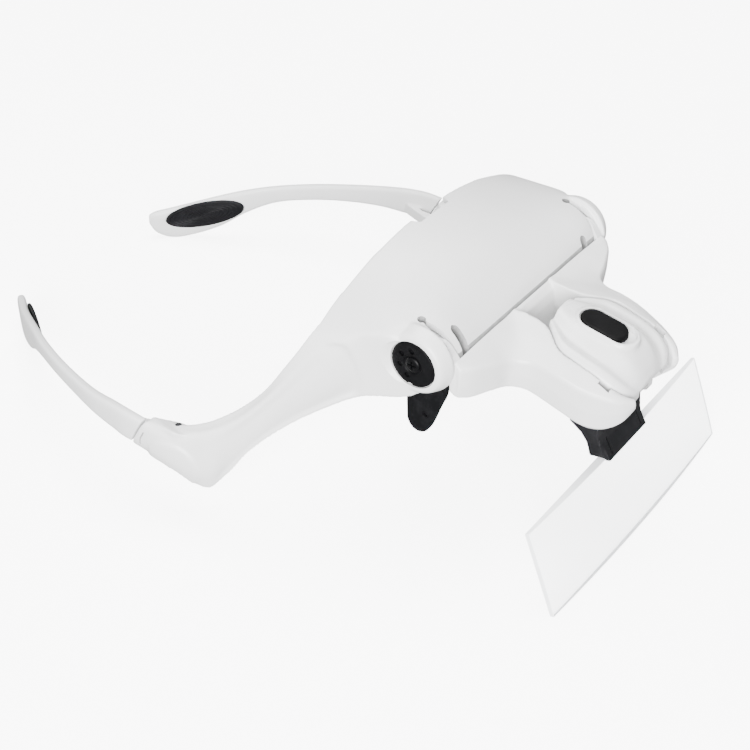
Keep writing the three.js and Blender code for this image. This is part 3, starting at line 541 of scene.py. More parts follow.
def rib_curve(rib, index, steps):
    """One rib as a smooth curve with even spacing."""
    dense = spline(tightened(rib, index), 12 * steps)
    lengths = np.concatenate([[0], np.cumsum(np.linalg.norm(np.diff(dense, axis=0), axis=1))])
    marks = np.linspace(0, lengths[-1], steps + 1)
    return np.stack([np.interp(marks, lengths, dense[:, k]) for k in range(3)], axis=1)


def ramp(value, start, end):
    """Smooth step from 0 at start to 1 at end."""
    t = np.clip((value - start) / (end - start), 0, 1)
    return t * t * (3 - 2 * t)


# The sunk side panel's edges, as ramps: at its front and rear in ribs, and at its top and foot in
# shares of a rib's length. Then the raised round of the wing at its hinge.
PANEL_FRONT, PANEL_REAR, PANEL_TOP, PANEL_FOOT = (6.52, 6.66), (10.9, 9.6), (0.14, 0.34), (0.975, 0.92)
PANEL_DEPTH = 0.9
DISC_Y, DISC_Z, DISC_R, DISC_HEIGHT = 58.0, -53.0, 7.9, 0.52


def frame_band(name, along=338, across=44):
    """Outer skin of the frame, with the sunk side panels and the raised hinge rounds."""
    left = [rib_curve(rib, i, across) for i, rib in enumerate(FRAME_RIBS)]
    right = [r * np.array((-1, 1, 1)) for r in left[:0:-1]]
    curves = np.array(right + left)
    grid = np.stack([spline(curves[:, j], along) for j in range(across + 1)], axis=1)
    rib = np.abs(np.linspace(-1, 1, along + 1) * (len(FRAME_RIBS) - 1))[:, None]
    share = np.linspace(0, 1, across + 1)[None, :]
    front = rib + 0.5 * share
    panel = ramp(front, *PANEL_FRONT) * ramp(rib, *PANEL_REAR)
    panel = panel * ramp(share, *PANEL_TOP) * ramp(share, *PANEL_FOOT)
    radius = np.hypot(grid[..., 1] - DISC_Y, grid[..., 2] - DISC_Z)
    disc = ramp(radius, DISC_R + 0.5, DISC_R - 0.3) * ramp(rib, 10.5, 11.0)
    lift = DISC_HEIGHT * disc - PANEL_DEPTH * panel
    grid += skin_normals(grid) * lift[..., None]
    return shell(name, grid, SHELL_WALL)


def hinge_scribe():
    """Short curved slit in the wing just before the temple."""
    line = spline([(66.4, -44.6), (67.8, -47.2), (68.6, -50.4)], 8)
    half, x0, x1 = 0.28, 72.6, 76
    section = [(x0, -half), (x1, -half), (x1, half), (x0, half)]
    return loft("scribe", [[(x, y + dy, z) for x, dy in section] for y, z in line])


def pivot_boss():
    x0 = FRAME_X1
    profile = [(BOSS_R - 0.1, x0), (BOSS_R, x0 + 0.5), (BOSS_R - 0.4, x0 + 1.6),
               (BOSS_R - 1.0, BOSS_X1 - 1.2), (BOSS_R - 1.5, BOSS_X1 - 0.4), (BOSS_R - 1.9, BOSS_X1)]
    return turned("boss", profile)


EAR_OUTER_X, EAR_SLOPE, EAR_BOTTOM = 69.6, 0.45, -54.0
PIN_R, PIN_BOTTOM, PIN_TOP = 0.93, -54.4, -41.95


def hinge_ear(z0, z1, slope=0.0):
    """Ear of the frame over or under the temple's knuckle; its top can slope down inwards."""
    inner = spline([(69.6, 66.2), (67.4, 62.6), (65.5, 59.8), (64.9, 56.5), (65.4, 52.0)], 16)
    outline = [(69.0, 51.0), (71.8, 56.5), (72.6, 66.4)] + [tuple(p) for p in inner]
    ear = prism("ear", outline, z0, z1)
    for vertex in ear.data.vertices:
        if slope and vertex.co.z > (z0 + z1) / 2:
            vertex.co.z -= slope * max(EAR_OUTER_X - vertex.co.x, 0)
    return ear


def hinge_pin():
    """Pin whose domed head shows in the sloping top of the upper ear."""
    profile = [(0.1, PIN_BOTTOM), (PIN_R, PIN_BOTTOM), (PIN_R, PIN_TOP - 0.15), (PIN_R - 0.13, PIN_TOP),
               (0.1, PIN_TOP + 0.03)]
    rings = [[(HINGE_X + r * math.cos(a), HINGE_Y + r * math.sin(a), z) for a in circle(32)]
             for r, z in profile]
    return loft("hinge_pin_left_rod", rings)


def knuckle_room():
    """Space between the two ears that the temple's knuckle turns in."""
    x, y, r = HINGE_X, HINGE_Y, KNUCKLE_R + 0.3
    outline = [(x - 12, y - r), (x, y - r), (x + r, y), (x + r, y + 20), (x - 12, y + 20)]
    return prism("room", outline, KNUCKLE_BOTTOM - GAP, KNUCKLE_TOP + GAP)


def relief_window():
    """Crescent opening over the bracket's ear, pointed at its rear end."""
    inner = spline([(35.35, 0.1), (35.2, -2.6), (34.9, -6.0), (34.4, -9.4), (34.1, -14)], 20)
    outer = spline([(37.6, -14), (37.55, -8.0), (37.3, -4.6), (36.7, -1.9), (36.0, 0.1)], 20)
    return prism("window", [tuple(p) for p in np.concatenate([inner, outer])], -12, 4)


def pocket_cutter():
    """Room for the knob, with a countersink where the wing stands higher."""
    floor_x = BOSS_X1 - POCKET_DEPTH
    wide = POCKET_R + 2.6
    profile = [(POCKET_R, floor_x), (POCKET_R, BOSS_X1 + 0.1), (POCKET_R + 0.6, BOSS_X1 + 0.5),
               (wide, BOSS_X1 + 2.6), (wide, BOSS_X1 + 6)]
    return turned("pocket", profile)


def around_pivot(x, r, degrees):
    """Point at a radius about the pivots' axis; 90 degrees is up and 180 is to the front."""
    a = math.radians(degrees)
    return (x, PIVOT_Y + r * math.cos(a), PIVOT_Z + r * math.sin(a))


def bent_bar(name, x, half_width, r0, r1, start, end, tip=0.0, steps=24):
    """Bar bent round the pivots' axis; with a tip angle its first end is round in plan."""
    rings = []
    for degrees in np.linspace(start, end, steps + 1):
        share = min((degrees - start) / tip, 1) if tip else 1
        w = half_width * max(math.sqrt(1 - (1 - share) ** 2), 0.08)
        rings.append([around_pivot(x + dx, r, degrees) for dx, r in ((-w, r0), (w, r0), (w, r1), (-w, r1))])
    return loft(name, rings)


def both_sides(*pieces):
    return [*pieces, *[mirrored(p, p.name + "_other") for p in pieces]]


# The two blind slots in the front lip: middle x, and the angle of the rear end. The slot on the
# wearer's left is shorter and nearer the middle.
LIP_SLOTS = [(-31.4, 118), (28.8, 146)]
SLOT_HALF_WIDTH, SLOT_RADII, SLOT_END, SLOT_TIP = 1.3, (4.2, 12), 196, 11
DOT_X, DOT_Y, DOT_R = 35.7, 0.1, 1.15
POST_R, POST_Y = 3.0, 5.2       # the post under the plate that the nose bridge is screwed to
REAR_NOTCH = [(-9, 26), (-6.9, 21.4), (-6.3, 20.8), (6.3, 20.8), (6.9, 21.4), (9, 26)]


def in_frame_painted_shade(p):
    """Whether a point gets painted shade: in a slot, a dot or a crescent opening, or on the lip's foot."""
    x, ahead, rise = abs(p.x), PIVOT_Y - p.y, p.z - PIVOT_Z
    r = math.hypot(ahead, rise)
    off_slot = min(abs(p.x - slot_x) for slot_x, start in LIP_SLOTS)
    in_slot = off_slot < SLOT_HALF_WIDTH + 0.04 and 3.9 < r < 8.6 and ahead > 0
    in_dot = math.hypot(x - DOT_X, p.y - DOT_Y) < DOT_R + 0.05 and -4 < p.z < 0.1
    in_window = FRAME_X0 < x < FRAME_X1 + 0.02 and 6.0 < r < 7.5 and ahead > -3.3
    on_foot = x < DRUM_X0 and 8.0 < r < 9.2 and ahead > 0 and rise < 0.3 * ahead
    return in_slot or in_dot or in_window or on_foot


def frame_piece():
    """Plate and wings in one, with bosses, hinge ears, lip slots and the room of all that turns."""
    upper_ear = hinge_ear(KNUCKLE_TOP + GAP, HINGE_TOP + 0.1, EAR_SLOPE)
    lower_ear = hinge_ear(EAR_BOTTOM, KNUCKLE_BOTTOM - GAP)
    root = bent_bar("root", 41.2, 2.3, 6.5, 11.6, -42, 24)              # from the boss to the wing
    cheek = bent_bar("cheek", FRAME_X0 - 0.85, 0.8, 5.0, 8.3, 5, 195)   # wall beside the drum
    solids = [frame_band("visor_frame"), *both_sides(pivot_boss(), root, cheek, upper_ear, lower_ear)]
    for x, start in LIP_SLOTS:
        solids.append(bent_bar("backing", x, SLOT_HALF_WIDTH + 1.1, 3.2, 8.2, 102, 184))
    solids.append(bent_bar("apron", 0, FRAME_X0, 7.4, 8.98, 164, 206))  # the lip's rolled foot
    solids.append(rod_z("post", POST_R, 0.1, 3.2, 0, POST_Y))
    piece = united(solids)
    fused(piece, voxel=0.42, smoothing=5)
    tools = both_sides(
        pocket_cutter(),
        rod_x("recess", DRUM_ROOM, FRAME_X0, FRAME_X1),
        rod_x("bore", PIVOT_BORE_R, 30, 50),
        rod_z("pin_hole", HINGE_BORE_R, HINGE_BOTTOM - 2, HINGE_TOP + 3, HINGE_X, HINGE_Y),
        knuckle_room(),
        relief_window(),
        rod_z("dot", DOT_R, -3.4, 4, DOT_X, DOT_Y, 24),
        hinge_scribe(),
    )
    for x, start in LIP_SLOTS:
        tools.append(bent_bar("slot", x, SLOT_HALF_WIDTH, *SLOT_RADII, start, SLOT_END, tip=SLOT_TIP))
    cut(piece, [*tools, prism("notch", REAR_NOTCH, 0, 12)])
    place(piece, "frame", "white_shell", WHITE, "frame_shell")
    # painted shade in the lip slots, the dot, the crescent openings and on the lip's foot
    paint_shade(piece, in_frame_painted_shade)


# ---- knobs, nose pads ----
DIMPLE_ANGLES, DIMPLE_RING_R, DIMPLE_R = (86, 35, -16, -67), 4.1, 0.8
RIM_NOTCH_R = 0.9
SHANK_R, SCREW_R, SCREW_X0, SCREW_X1 = 2.0, 2.19, 31.6, KNOB_X1 + 0.25
CROSS_REACH, CROSS_HALF_WIDTH, CROSS_DEPTH = 1.3, 0.26, 0.8


def knob():
    """Press-on knob: rounded rim, a flat face, small dimples and a notch in the rim."""
    x0 = BOSS_X1 - POCKET_DEPTH + 0.05
    profile = [(2.25, x0), (KNOB_R, x0), (KNOB_R, KNOB_X1 - 0.55), (KNOB_R - 0.16, KNOB_X1 - 0.16),
               (KNOB_R - 0.55, KNOB_X1), (KNOB_R - 1.2, KNOB_X1 - 0.02), (2.9, KNOB_X1 - 0.02),
               (2.7, KNOB_X1 - 0.4), (2.25, KNOB_X1 - 0.4)]
    piece = turned("knob_left", profile)
    tools = [rod_x("bore", SCREW_R + 0.03, 40, 50)]
    for degrees in DIMPLE_ANGLES:
        x, y, z = around_pivot(KNOB_X1, DIMPLE_RING_R, degrees)
        tools.append(rod_x("dimple", DIMPLE_R, x - 0.7, x + 1, y, z, 24))
    notch_y, notch_z = PIVOT_Y + 0.6, PIVOT_Z - KNOB_R
    tools.append(rod_x("rim_notch", RIM_NOTCH_R, KNOB_X1 - 0.8, KNOB_X1 + 1, notch_y, notch_z, 24))
    cut(piece, tools)
    return bevelled(piece, 0.08)


def screw_head():
    """Cross-recessed screw end in the middle of the knob."""
    top = SCREW_X1
    profile = [(SHANK_R, SCREW_X0), (SHANK_R, KNOB_X1 - 1.05), (SCREW_R, KNOB_X1 - 0.95),
               (SCREW_R, top - 0.35), (1.95, top - 0.12), (1.5, top), (0.6, top + 0.02), (0.05, top + 0.02)]
    piece = turned("pivot_screw_left_head", profile, steps=48)
    for a, b in ((CROSS_REACH, CROSS_HALF_WIDTH), (CROSS_HALF_WIDTH, CROSS_REACH)):
        bar = block("bar", top - CROSS_DEPTH, top + 1, PIVOT_Y - a, PIVOT_Y + a, PIVOT_Z - b, PIVOT_Z + b)
        cut(piece, [bar])
    return bevelled(piece, 0.05)


def nose_pad():
    """Teardrop pad, domed on both faces, with a hole for its clip."""
    outline = bezier_loop([
        ((19.0, -44), (19.6, -38), (16, -34), (11, -34)),
        ((11, -34), (5.5, -34), (4.0, -38), (6.4, -43.5)),
        ((6.4, -43.5), (8.6, -48.5), (9.4, -54), (12.4, -57.2)),
        ((12.4, -57.2), (14.6, -59.2), (18.0, -58.4), (18.8, -54)),
    ], 20)
    centre = outline.mean(axis=0)
    rings = []
    for inset, x in ((0.86, 12.75), (0.95, 12.85), (1.0, 13.3), (1.03, 13.7), (1.03, 14.3), (1.0, 14.7),
                     (0.95, 15.15), (0.86, 15.25)):
        rings.append([(x, *(centre + (p - centre) * inset)) for p in outline])
    piece = loft("nose_pad_left_rubber", rings)
    cut(piece, [rod_x("clip_hole", 0.9, 8, 20, 12.2, -50.7, 32)])
    return bevelled(piece, 0.15)


def bezier_loop(segments, steps):
    points = []
    for p0, p1, p2, p3 in segments:
        p0, p1, p2, p3 = (np.array(p, float) for p in (p0, p1, p2, p3))
        for t in np.arange(steps) / steps:
            u = 1 - t
            points.append(u ** 3 * p0 + 3 * u * u * t * p1 + 3 * u * t * t * p2 + t ** 3 * p3)
    return np.array(points)


# ---- temples ----
# Stations of the left temple: centre x, y, top z, height, thickness.
TEMPLE_STATIONS = [
    (72.6, 66.8, -41.0, 9.7, 3.2), (72.4, 73, -40.9, 9.8, 3.3), (71.5, 80, -41.5, 9.3, 3.3),
    (69.8, 89.5, -43.1, 7.6, 3.1), (66.5, 100.5, -44.8, 6.4, 2.9), (61.6, 113.7, -46.9, 5.9, 2.8),
    (55.9, 126.1, -49.3, 6.3, 2.8), (50.6, 135.5, -51.7, 8.9, 2.9), (45.9, 143.4, -54.4, 12.1, 3.0),
    (40.2, 152.5, -57.9, 12.9, 3.1), (35.8, 158.6, -60.1, 11.9, 3.1), (32.5, 163.0, -61.6, 8.4, 2.9),
    (31.0, 165.0, -63.0, 3.4, 1.8),
]
SEAM_SLANT, SLANTED_RINGS = 0.55, 14    # lean of the front end, fading out over these rings
BOXINESS = 0.55                 # of the temple's section: 1 is an ellipse, 0 a rectangle
PADDLE_MIDDLE = np.array((42.0, 147.6, -61.0))
PADDLE_ALONG = np.array((-0.535, 0.81, -0.24)) / np.linalg.norm((-0.535, 0.81, -0.24))
PADDLE_INWARD = np.array((-0.834, -0.551, 0)) / np.linalg.norm((-0.834, -0.551, 0))
PADDLE_ACROSS = np.cross(PADDLE_ALONG, PADDLE_INWARD)
PAD_HALF_LENGTH, PAD_HALF_WIDTH = 14.6, 4.7


def boxed(share):
    return math.copysign(abs(share) ** BOXINESS, share)


def temple_rings(steps=90, corners=40):
    """Rings of the left temple: rounded boxes that stand square to its run."""
    stations = spline(TEMPLE_STATIONS, steps)
    forward = np.gradient(stations[:, :2], axis=0)
    rings = []
    for (x, y, top, height, thick), (dx, dy) in zip(stations, forward):
        length = math.hypot(dx, dy)
        outward_x, outward_y = dy / length, -dx / length
        ring = []
        for i in range(corners):
            a = 2 * math.pi * i / corners
            across = boxed(math.cos(a)) * thick / 2
            z = top - height / 2 + boxed(math.sin(a)) * height / 2
            ring.append((x + outward_x * across, y + outward_y * across, z))
        rings.append(np.array(ring))
    for i, ring in enumerate(rings[:SLANTED_RINGS]):
        share = 1 - i / SLANTED_RINGS
        ring[:, 1] += SEAM_SLANT * (TEMPLE_STATIONS[0][2] - ring[:, 2]) * share
    return rings


def temple_knuckle():
    """Leaf of the temple that turns between the frame's two ears."""
    x, y, r = HINGE_X, HINGE_Y, KNUCKLE_R
    outline = [(x + r, y), (x + r, 72.5), (72.2, 77.5), (72.2, 82), (70.6, 82), (66.6, 70), (x - r, y)]
    return prism("knuckle", outline + arc(x, y, r, 180, 360, 16)[1:-1], KNUCKLE_BOTTOM, KNUCKLE_TOP)


def on_paddle(a, b, depth):
    return PADDLE_MIDDLE + PADDLE_ALONG * a + PADDLE_ACROSS * b + PADDLE_INWARD * depth


def paddle_oval(half_length, half_width, depth, steps=72):
    return [on_paddle(half_length * math.cos(t), half_width * math.sin(t), depth) for t in circle(steps)]


def temple_arm():
    piece = united([loft("temple_left_arm", temple_rings()), temple_knuckle()])
    fused(piece, voxel=0.34, smoothing=4)
    recess = loft("recess", [paddle_oval(PAD_HALF_LENGTH + GAP, PAD_HALF_WIDTH + GAP, depth, 64)
                             for depth in (0.35, 7)])
    pin_hole = rod_z("pin_hole", HINGE_BORE_R, -60, -40, HINGE_X, HINGE_Y)
    return cut(piece, [recess, pin_hole])


def ringed_pad():
    """Oval rubber pad with concentric raised rings."""
    ridges, ridge_height, ridged_to = 9, 0.13, 0.92
    rounded_from, rounding_depth = 0.94, 0.25
    face_depth, back_depth = 1.55, 0.7
    rings = []
    for share in np.linspace(0.02, 1, 64):
        rounding = rounding_depth * max(0, (share - rounded_from) / (1 - rounded_from)) ** 2
        ridge = ridge_height * math.sin(share * ridges * 2 * math.pi) if share < ridged_to else 0
        depth = face_depth + ridge - rounding
        rings.append(paddle_oval(PAD_HALF_LENGTH * share, PAD_HALF_WIDTH * share, depth))
    rings.append(paddle_oval(PAD_HALF_LENGTH, PAD_HALF_WIDTH, back_depth))
    return loft("temple_left_pad", rings)


# ---- bracket ----
# Stations of the left half, from the pivot ear to the arm's front tip.
# Each ring runs: inner top, outer crease, outer low edge, inner low edge, inner middle.
BRACKET_STATIONS = [
    [(37.4, -10.9, -7.4), (37.4, -13.2, -8.7), (37.4, -12.4, -18.4), (37.4, -9.6, -17), (37.4, -9.4, -12)],
    [(34, -10.4, -7.4), (34.6, -15.2, -9), (34.6, -14.8, -18.8), (34.4, -12.4, -18.6), (34.2, -10.8, -12.2)],
    [(27, -10.2, -7), (29, -17.4, -9.9), (29, -17.5, -19), (28.6, -14.6, -18.9), (28.2, -11.6, -13)],
    [(18, -10.2, -6.8), (23.2, -19.4, -11.1), (23.4, -19.5, -20.2), (21, -17.2, -20.2), (20.6, -12.6, -14)],
    [(9.4, -10.3, -6.8), (20.9, -23, -11.4), (21, -23.2, -21), (10.4, -20.8, -24), (9.4, -12.8, -14)],
    [(8.7, -20.6, -7.7), (20.4, -28, -11.5), (20.4, -28.2, -22.4), (11.8, -26, -27.5), (9.4, -21, -17)],
    [(14.1, -28.6, -9.7), (20.2, -33, -12.6), (20, -33.6, -24.2), (12.6, -32.2, -29.4), (13.8, -29.4, -20)],
    [(14.5, -36, -11.6), (19.4, -38.4, -14.3), (18.9, -39.4, -26.4), (12.6, -38.2, -31.8), (13.8, -37, -22)],
    [(14.5, -41.5, -13.4), (17.6, -43.6, -15.6), (16.9, -44.4, -26.6), (12.6, -43, -29.6),
     (13.6, -42.4, -22)],
    [(13.2, -46.6, -16.2), (15.2, -47.6, -16.7), (14.4, -48.6, -24), (12.2, -46.6, -25.6),
     (12.6, -46.6, -21)],
    [(10.6, -49.4, -18.3), (11.4, -50.2, -18), (11.2, -50.6, -20.4), (10.5, -49.6, -20.6),
     (10.5, -49.5, -19.6)],
]


def bracket_ring(station):
    """Ten points round an arm's section from a station's five."""
    top, crease, low, in_low, in_mid = (np.array(p, float) for p in station)
    side = low - crease
    return [top, (top + crease) / 2 + (0, 0, 0.25), crease, crease + side * 0.12 + (0.35, -0.35, 0),
            crease + side * 0.55 + (0.4, -0.4, 0), low, (low + in_low) / 2 + (0, 0, -0.3), in_low,
            in_mid, in_mid + (top - in_mid) * 0.8]


def bracket_half():
    rings = np.array([bracket_ring(s) for s in BRACKET_STATIONS])
    rails = [spline(rings[:, k], 120) for k in range(rings.shape[1])]
    return loft("bracket_half", np.stack(rails, axis=1))


def pivot_ear():
    """Drum that turns inside the frame; it is left open at its inner end."""
    wall, edge = 1.6, 0.3
    profile = [(DRUM_R - wall, DRUM_X1 - wall), (DRUM_R - wall, DRUM_X0), (DRUM_R - edge, DRUM_X0),
               (DRUM_R, DRUM_X0 + edge), (DRUM_R, DRUM_X1 - edge), (DRUM_R - edge, DRUM_X1),
               (PIVOT_BORE_R, DRUM_X1), (PIVOT_BORE_R, DRUM_X1 - wall)]
    rings = [[(x, PIVOT_Y + r * math.cos(a), PIVOT_Z + r * math.sin(a)) for r, x in profile]
             for a in circle(96)]
    count, n = len(rings), len(profile)
    points = [p for ring in rings for p in ring]
    faces = [(i * n + j, i * n + (j + 1) % n, (i + 1) % count * n + (j + 1) % n, (i + 1) % count * n + j)
             for i in range(count) for j in range(n)]
    return mesh_object("pivot_ear", points, faces)


# Stations of the neck round the pivots: degrees, inner x, outer x, outer radius.
NECK_STATIONS = [
    (224, NECK_X0, 37.3, 10.2), (196, NECK_X0, 37.3, 10.2), (178, NECK_X0, 37.3, 10.1),
    (168, 34.93, 37.3, 9.5), (158, 35.12, 37.2, 9.0), (144, 35.35, 36.95, 8.75), (132, 35.5, 36.6, 8.3),
    (118, 35.65, 36.3, 7.1),
]


def neck():
    """Flange that joins the drum to the arm's root and fills the crescent opening."""
    rings = []
    for degrees, x0, x1, r1 in NECK_STATIONS:
        r0 = min(DRUM_R - 0.8, r1 - 0.6)
        section = ((x0, r0), (x1, r0), (x1, r1 - 0.15), (x0, r1))
        rings.append([around_pivot(x, r, degrees) for x, r in section])
    rails = [spline([ring[k] for ring in rings], 48) for k in range(4)]
    return loft("neck", np.stack(rails, axis=1))


# Section (y, z) of the wall that joins the two arms behind the light module.
REAR_WEB = [(-10.2, -6.8), (-12, -7.6), (-13.2, -9.2), (-13.8, -12), (-14.6, -21), (-13, -21), (-11.4, -12)]
TRAY = (-13.2, 13.2, -31.2, -24.4, -27.6, -26.1)
SEAM_NOTCH = (13.2, 15.9, -44.4, -41.2, -17.5, -9)      # in the arm's top, at the module's seam
# box round the walls of the near side's seam notch, where shade is painted
NOTCH_SHADE_BOX = ((13.25, 15.94), (-44.44, -41.16), (-17.54, -9))
MODULE_ROOM_SCALE, MODULE_TURNS = 1.02, (5, 10, 15, 20)


def module_room(degrees):
    """Space that the light module passes through as it tips up."""
    room = loft("module_room", module_rings(24))
    room.data.transform(Matrix.Diagonal((MODULE_ROOM_SCALE, 1, 1, 1)))
    pin = Vector((0, MODULE_PIN_Y, MODULE_PIN_Z))
    turn = Matrix.Rotation(math.radians(degrees), 4, "X")
    room.data.transform(Matrix.Translation(pin) @ turn @ Matrix.Translation(-pin))
    return room


def bracket_piece():
    """Both arms with the web and the tray between them, and the drums that turn in the frame."""
    rear_web = loft("rear_web", [[(x, y, z) for y, z in REAR_WEB] for x in (-11, 11)])
    piece = united([*both_sides(bracket_half()), block("tray", *TRAY), rear_web])
    piece.name = "brow_bracket"
    fused(piece, voxel=0.36, smoothing=5)
    tools = [
        rod_x("lip_room", LIP_ROOM, -NECK_X0, NECK_X0),
        rod_x("module_bore", MODULE_BORE_R, -14.2, 14.2, MODULE_PIN_Y, MODULE_PIN_Z, 32),
        rod_x("holder_bore", HOLDER_BORE_R, -14.5, 14.5, HOLDER_PIN_Y, HOLDER_PIN_Z, 32),
        *both_sides(block("notch", *SEAM_NOTCH)),
        *[module_room(degrees) for degrees in MODULE_TURNS],
    ]
    cut(piece, tools)
    united([piece, *both_sides(neck(), pivot_ear())])
    place(piece, "bracket", "white_shell", WHITE, "bracket_shell")
    # painted shade on the walls of the seam notch, on the near side only
    paint_shade(piece, lambda p: within((-p.x, p.y, p.z), *NOTCH_SHADE_BOX))


# ---- light module ----
# Stations: y, half width at the seam, seam z, half width of the top pad, pad z, bottom z.
MODULE_STATIONS = [
    (-20.9, 7.0, -8.6, 3.0, -6.4, -20.5), (-23.5, 9.6, -8.9, 4.2, -6.9, -22.6),
    (-28.0, 13.2, -9.9, 5.4, -7.6, -22.6), (-34.0, 14.1, -11.4, 5.7, -8.5, -22.6),
    (-40.0, 14.1, -13.2, 5.7, -9.5, -22.6), (-44.0, 13.7, -15.0, 5.3, -11.6, -22.6),
    (-47.0, 12.0, -17.2, 4.5, -15.2, -22.3), (-48.6, 9.2, -19.4, 3.4, -18.4, -21.6),
]
LAMP_SEAT = np.array((5.6, -44.6, -20.6))
LAMP_DIP = math.radians(40)
LAMP_AXIS = np.array((0, -math.cos(LAMP_DIP), -math.sin(LAMP_DIP)))
LAMP_ACROSS = np.array((0, -math.sin(LAMP_DIP), math.cos(LAMP_DIP)))
# Pill outlines on the top pad: half width, front y, rear y.
RIM, SWITCH_SLOT = (5.0, -43.8, -25.6), (4.2, -43.0, -26.4)
STEM_SLOT, KEY = (1.3, -38.5, -29), (3.8, -40.4, -26.8)
RIM_HEIGHT = 0.28               # of the raised lip round the switch slot
NOSE_RECESS = (1.2, 6.2, -52, -47.3, -24, -19.2)
# box round the walls of the nose recesses, where shade is painted
NOSE_SHADE_BOX = ((1.15, 6.25), (-60, -47.25), (-30, -19.15))


def module_rings(steps=60):
    """Rings of the housing: a raised pad, a valley, a low rail and the seam on each side."""
    rings = []
    for y, w, seam, pad, pad_z, bottom in spline(MODULE_STATIONS, steps):
        valley = pad + 0.45 * (w - pad)
        rail = pad + 0.78 * (w - pad)
        lift = 0.25 * (pad_z - seam)
        side = [(0, pad_z + 0.42), (pad * 0.6, pad_z + 0.35), (pad, pad_z), (valley, seam + lift),
                (rail, seam + lift + 0.35), (w - 0.3, seam + 0.2), (w, seam - 0.4),
                (w - 0.1, seam - 1.5), (w - 2.0, bottom + 0.4), (w - 2.6, bottom), (0, bottom)]
        half = spline([(x, z, 0) for x, z in side], 46)[:, :2]
        left = [(x, y, z) for x, z in half]
        right = [(-x, y, z) for x, z in half[-2:0:-1]]
        rings.append(left + right)
    return rings


def along_pad(piece):
    """Shears a flat piece so that it follows the falling top pad."""
    shear = Matrix.Translation((0, 0, PAD_Z - PAD_SLOPE * PAD_Y))
    shear[2][1] = PAD_SLOPE
    piece.data.transform(shear)
    return piece


def lamp_well(side):
    """Conical well round a lamp; its axis points forward and down."""
    rings = []
    for r, reach in ((1.8, -6), (1.8, 1.6), (2.9, 4.2), (3.4, 8)):
        ring = []
        for a in circle(40):
            ring.append(LAMP_SEAT * (side, 1, 1) + LAMP_AXIS * reach
                        + np.array((r * math.cos(a), 0, 0)) + LAMP_ACROSS * (r * math.sin(a)))
        rings.append(ring)
    return loft("lamp_well", rings)


def module_piece():
    """Battery and lamp housing, with the switch slot, the lamp wells and its pins' bore."""
    rim = along_pad(prism("rim", pill(*RIM), -2.5, 0.45 + RIM_HEIGHT))
    piece = united([loft("light_module_housing", module_rings()), rim])
    fused(piece, voxel=0.34, smoothing=4)
    slot = along_pad(prism("slot", pill(*SWITCH_SLOT), -0.8, 5))
    stem_slot = prism("stem_slot", pill(*STEM_SLOT), -16, -6)
    pins = rod_x("pins", MODULE_BORE_R, -30, 30, MODULE_PIN_Y, MODULE_PIN_Z, 32)
    nose = block("nose", *NOSE_RECESS)
    cut(piece, [slot, stem_slot, pins, lamp_well(1), lamp_well(-1), *both_sides(nose)])
    place(piece, "light_module", "white_module", WHITE_MODULE, "module_housing")
    # painted shade on the walls of the nose recesses
    paint_shade(piece, lambda p: within((abs(p.x), p.y, p.z), *NOSE_SHADE_BOX))


def switch_piece():
    """Sliding key: a pill with a rounded edge and a flat top."""
    half_width, front, rear = KEY
    rings = []
    for inset, height in ((0, -0.5), (0, 0.45), (0.12, 0.72), (0.4, 0.88), (0.8, 0.93), (1.6, 0.95)):
        outline = pill(half_width - inset, front + inset, rear - inset)
        rings.append([(x, y, height) for x, y in outline])
    piece = along_pad(loft("switch_key", rings))
    place(piece, "switch", "black_switch", SWITCH_BLACK, "switch_slider")


# ---- lens and holder ----
LENS_DOWN = np.array((0, -math.sin(LENS_TILT), -math.cos(LENS_TILT)))
LENS_FRONT = np.array((0, -math.cos(LENS_TILT), math.sin(LENS_TILT)))
LENS_FACING = Matrix.Rotation(LEAN, 3, "X") @ Vector(LENS_FRONT)
LENS_SHARP = 15                 # keeps each step of the chamfer flat
EDGE_COSINE = 0.97              # faces turned further from the lens's front than this are cut edges


def on_lens(x, down, out):
    return LENS_TOP + np.array((x, 0, 0)) + LENS_DOWN * down + LENS_FRONT * out


def lens_piece():
    """Plano-convex lens with a small polished chamfer, and the tab that its holder grips."""
    reach = LENS_HALF_WIDTH ** 2 + (LENS_HEIGHT / 2) ** 2
    columns, rows, chamfer = 96, 30, 0.25
    rings = []
    for x in np.linspace(-LENS_HALF_WIDTH, LENS_HALF_WIDTH, columns + 1):
        front = []
        for down in np.linspace(0, LENS_HEIGHT, rows + 1):
            crown = LENS_SAG * (1 - (x ** 2 + (down - LENS_HEIGHT / 2) ** 2) / reach)
            front.append(on_lens(x, down, LENS_EDGE + crown))
        back = [on_lens(x, LENS_HEIGHT, 0), on_lens(x, 0, 0)]
        rings.append(front + back)
    body = loft("lens_clear", rings)
    corners = [(-6, -8.5), (6, -8.5), (6, 2), (-6, 2)]
    tab = loft("tab", [[on_lens(x, down, out) for x, down in corners] for out in (0.3, 1.9)])
    cut(body, [tab], "UNION")
    bevelled(body, chamfer, angle=50)
    place(body, "lens", "lens_acrylic", CLEAR, "lens", sharp=LENS_SHARP)
    # the cut edges take the edge material with its painted glow
    body.data.materials.append(CLEAR_EDGE)
    for face in body.data.polygons:
        if abs(face.normal.dot(LENS_FACING)) < EDGE_COSINE:
            face.material_index = 1


# Side outline (y, z) of the clip, as part.mjs has it: round at the pin, flat where it grips.
HOLDER_REAR = [(-32.0, -32.6), (-35.7, -35.6), (-37.4, -39.0), (-38.6, -43.4)]
HOLDER_FRONT = [(-43.5, -42.3), (-42.2, -38.6), (-41.2, -34.6)]
JAW_HALF_WIDTH, JAW_REACH, SEAT_OUT = 10.2, 0.3, 3.4    # the front jaw, over the lens's top edge
SLIT_X, SLIT_HALF_WIDTH, SLIT_TOP, SLIT_FOOT = 7.9, 0.28, -6.2, -0.9


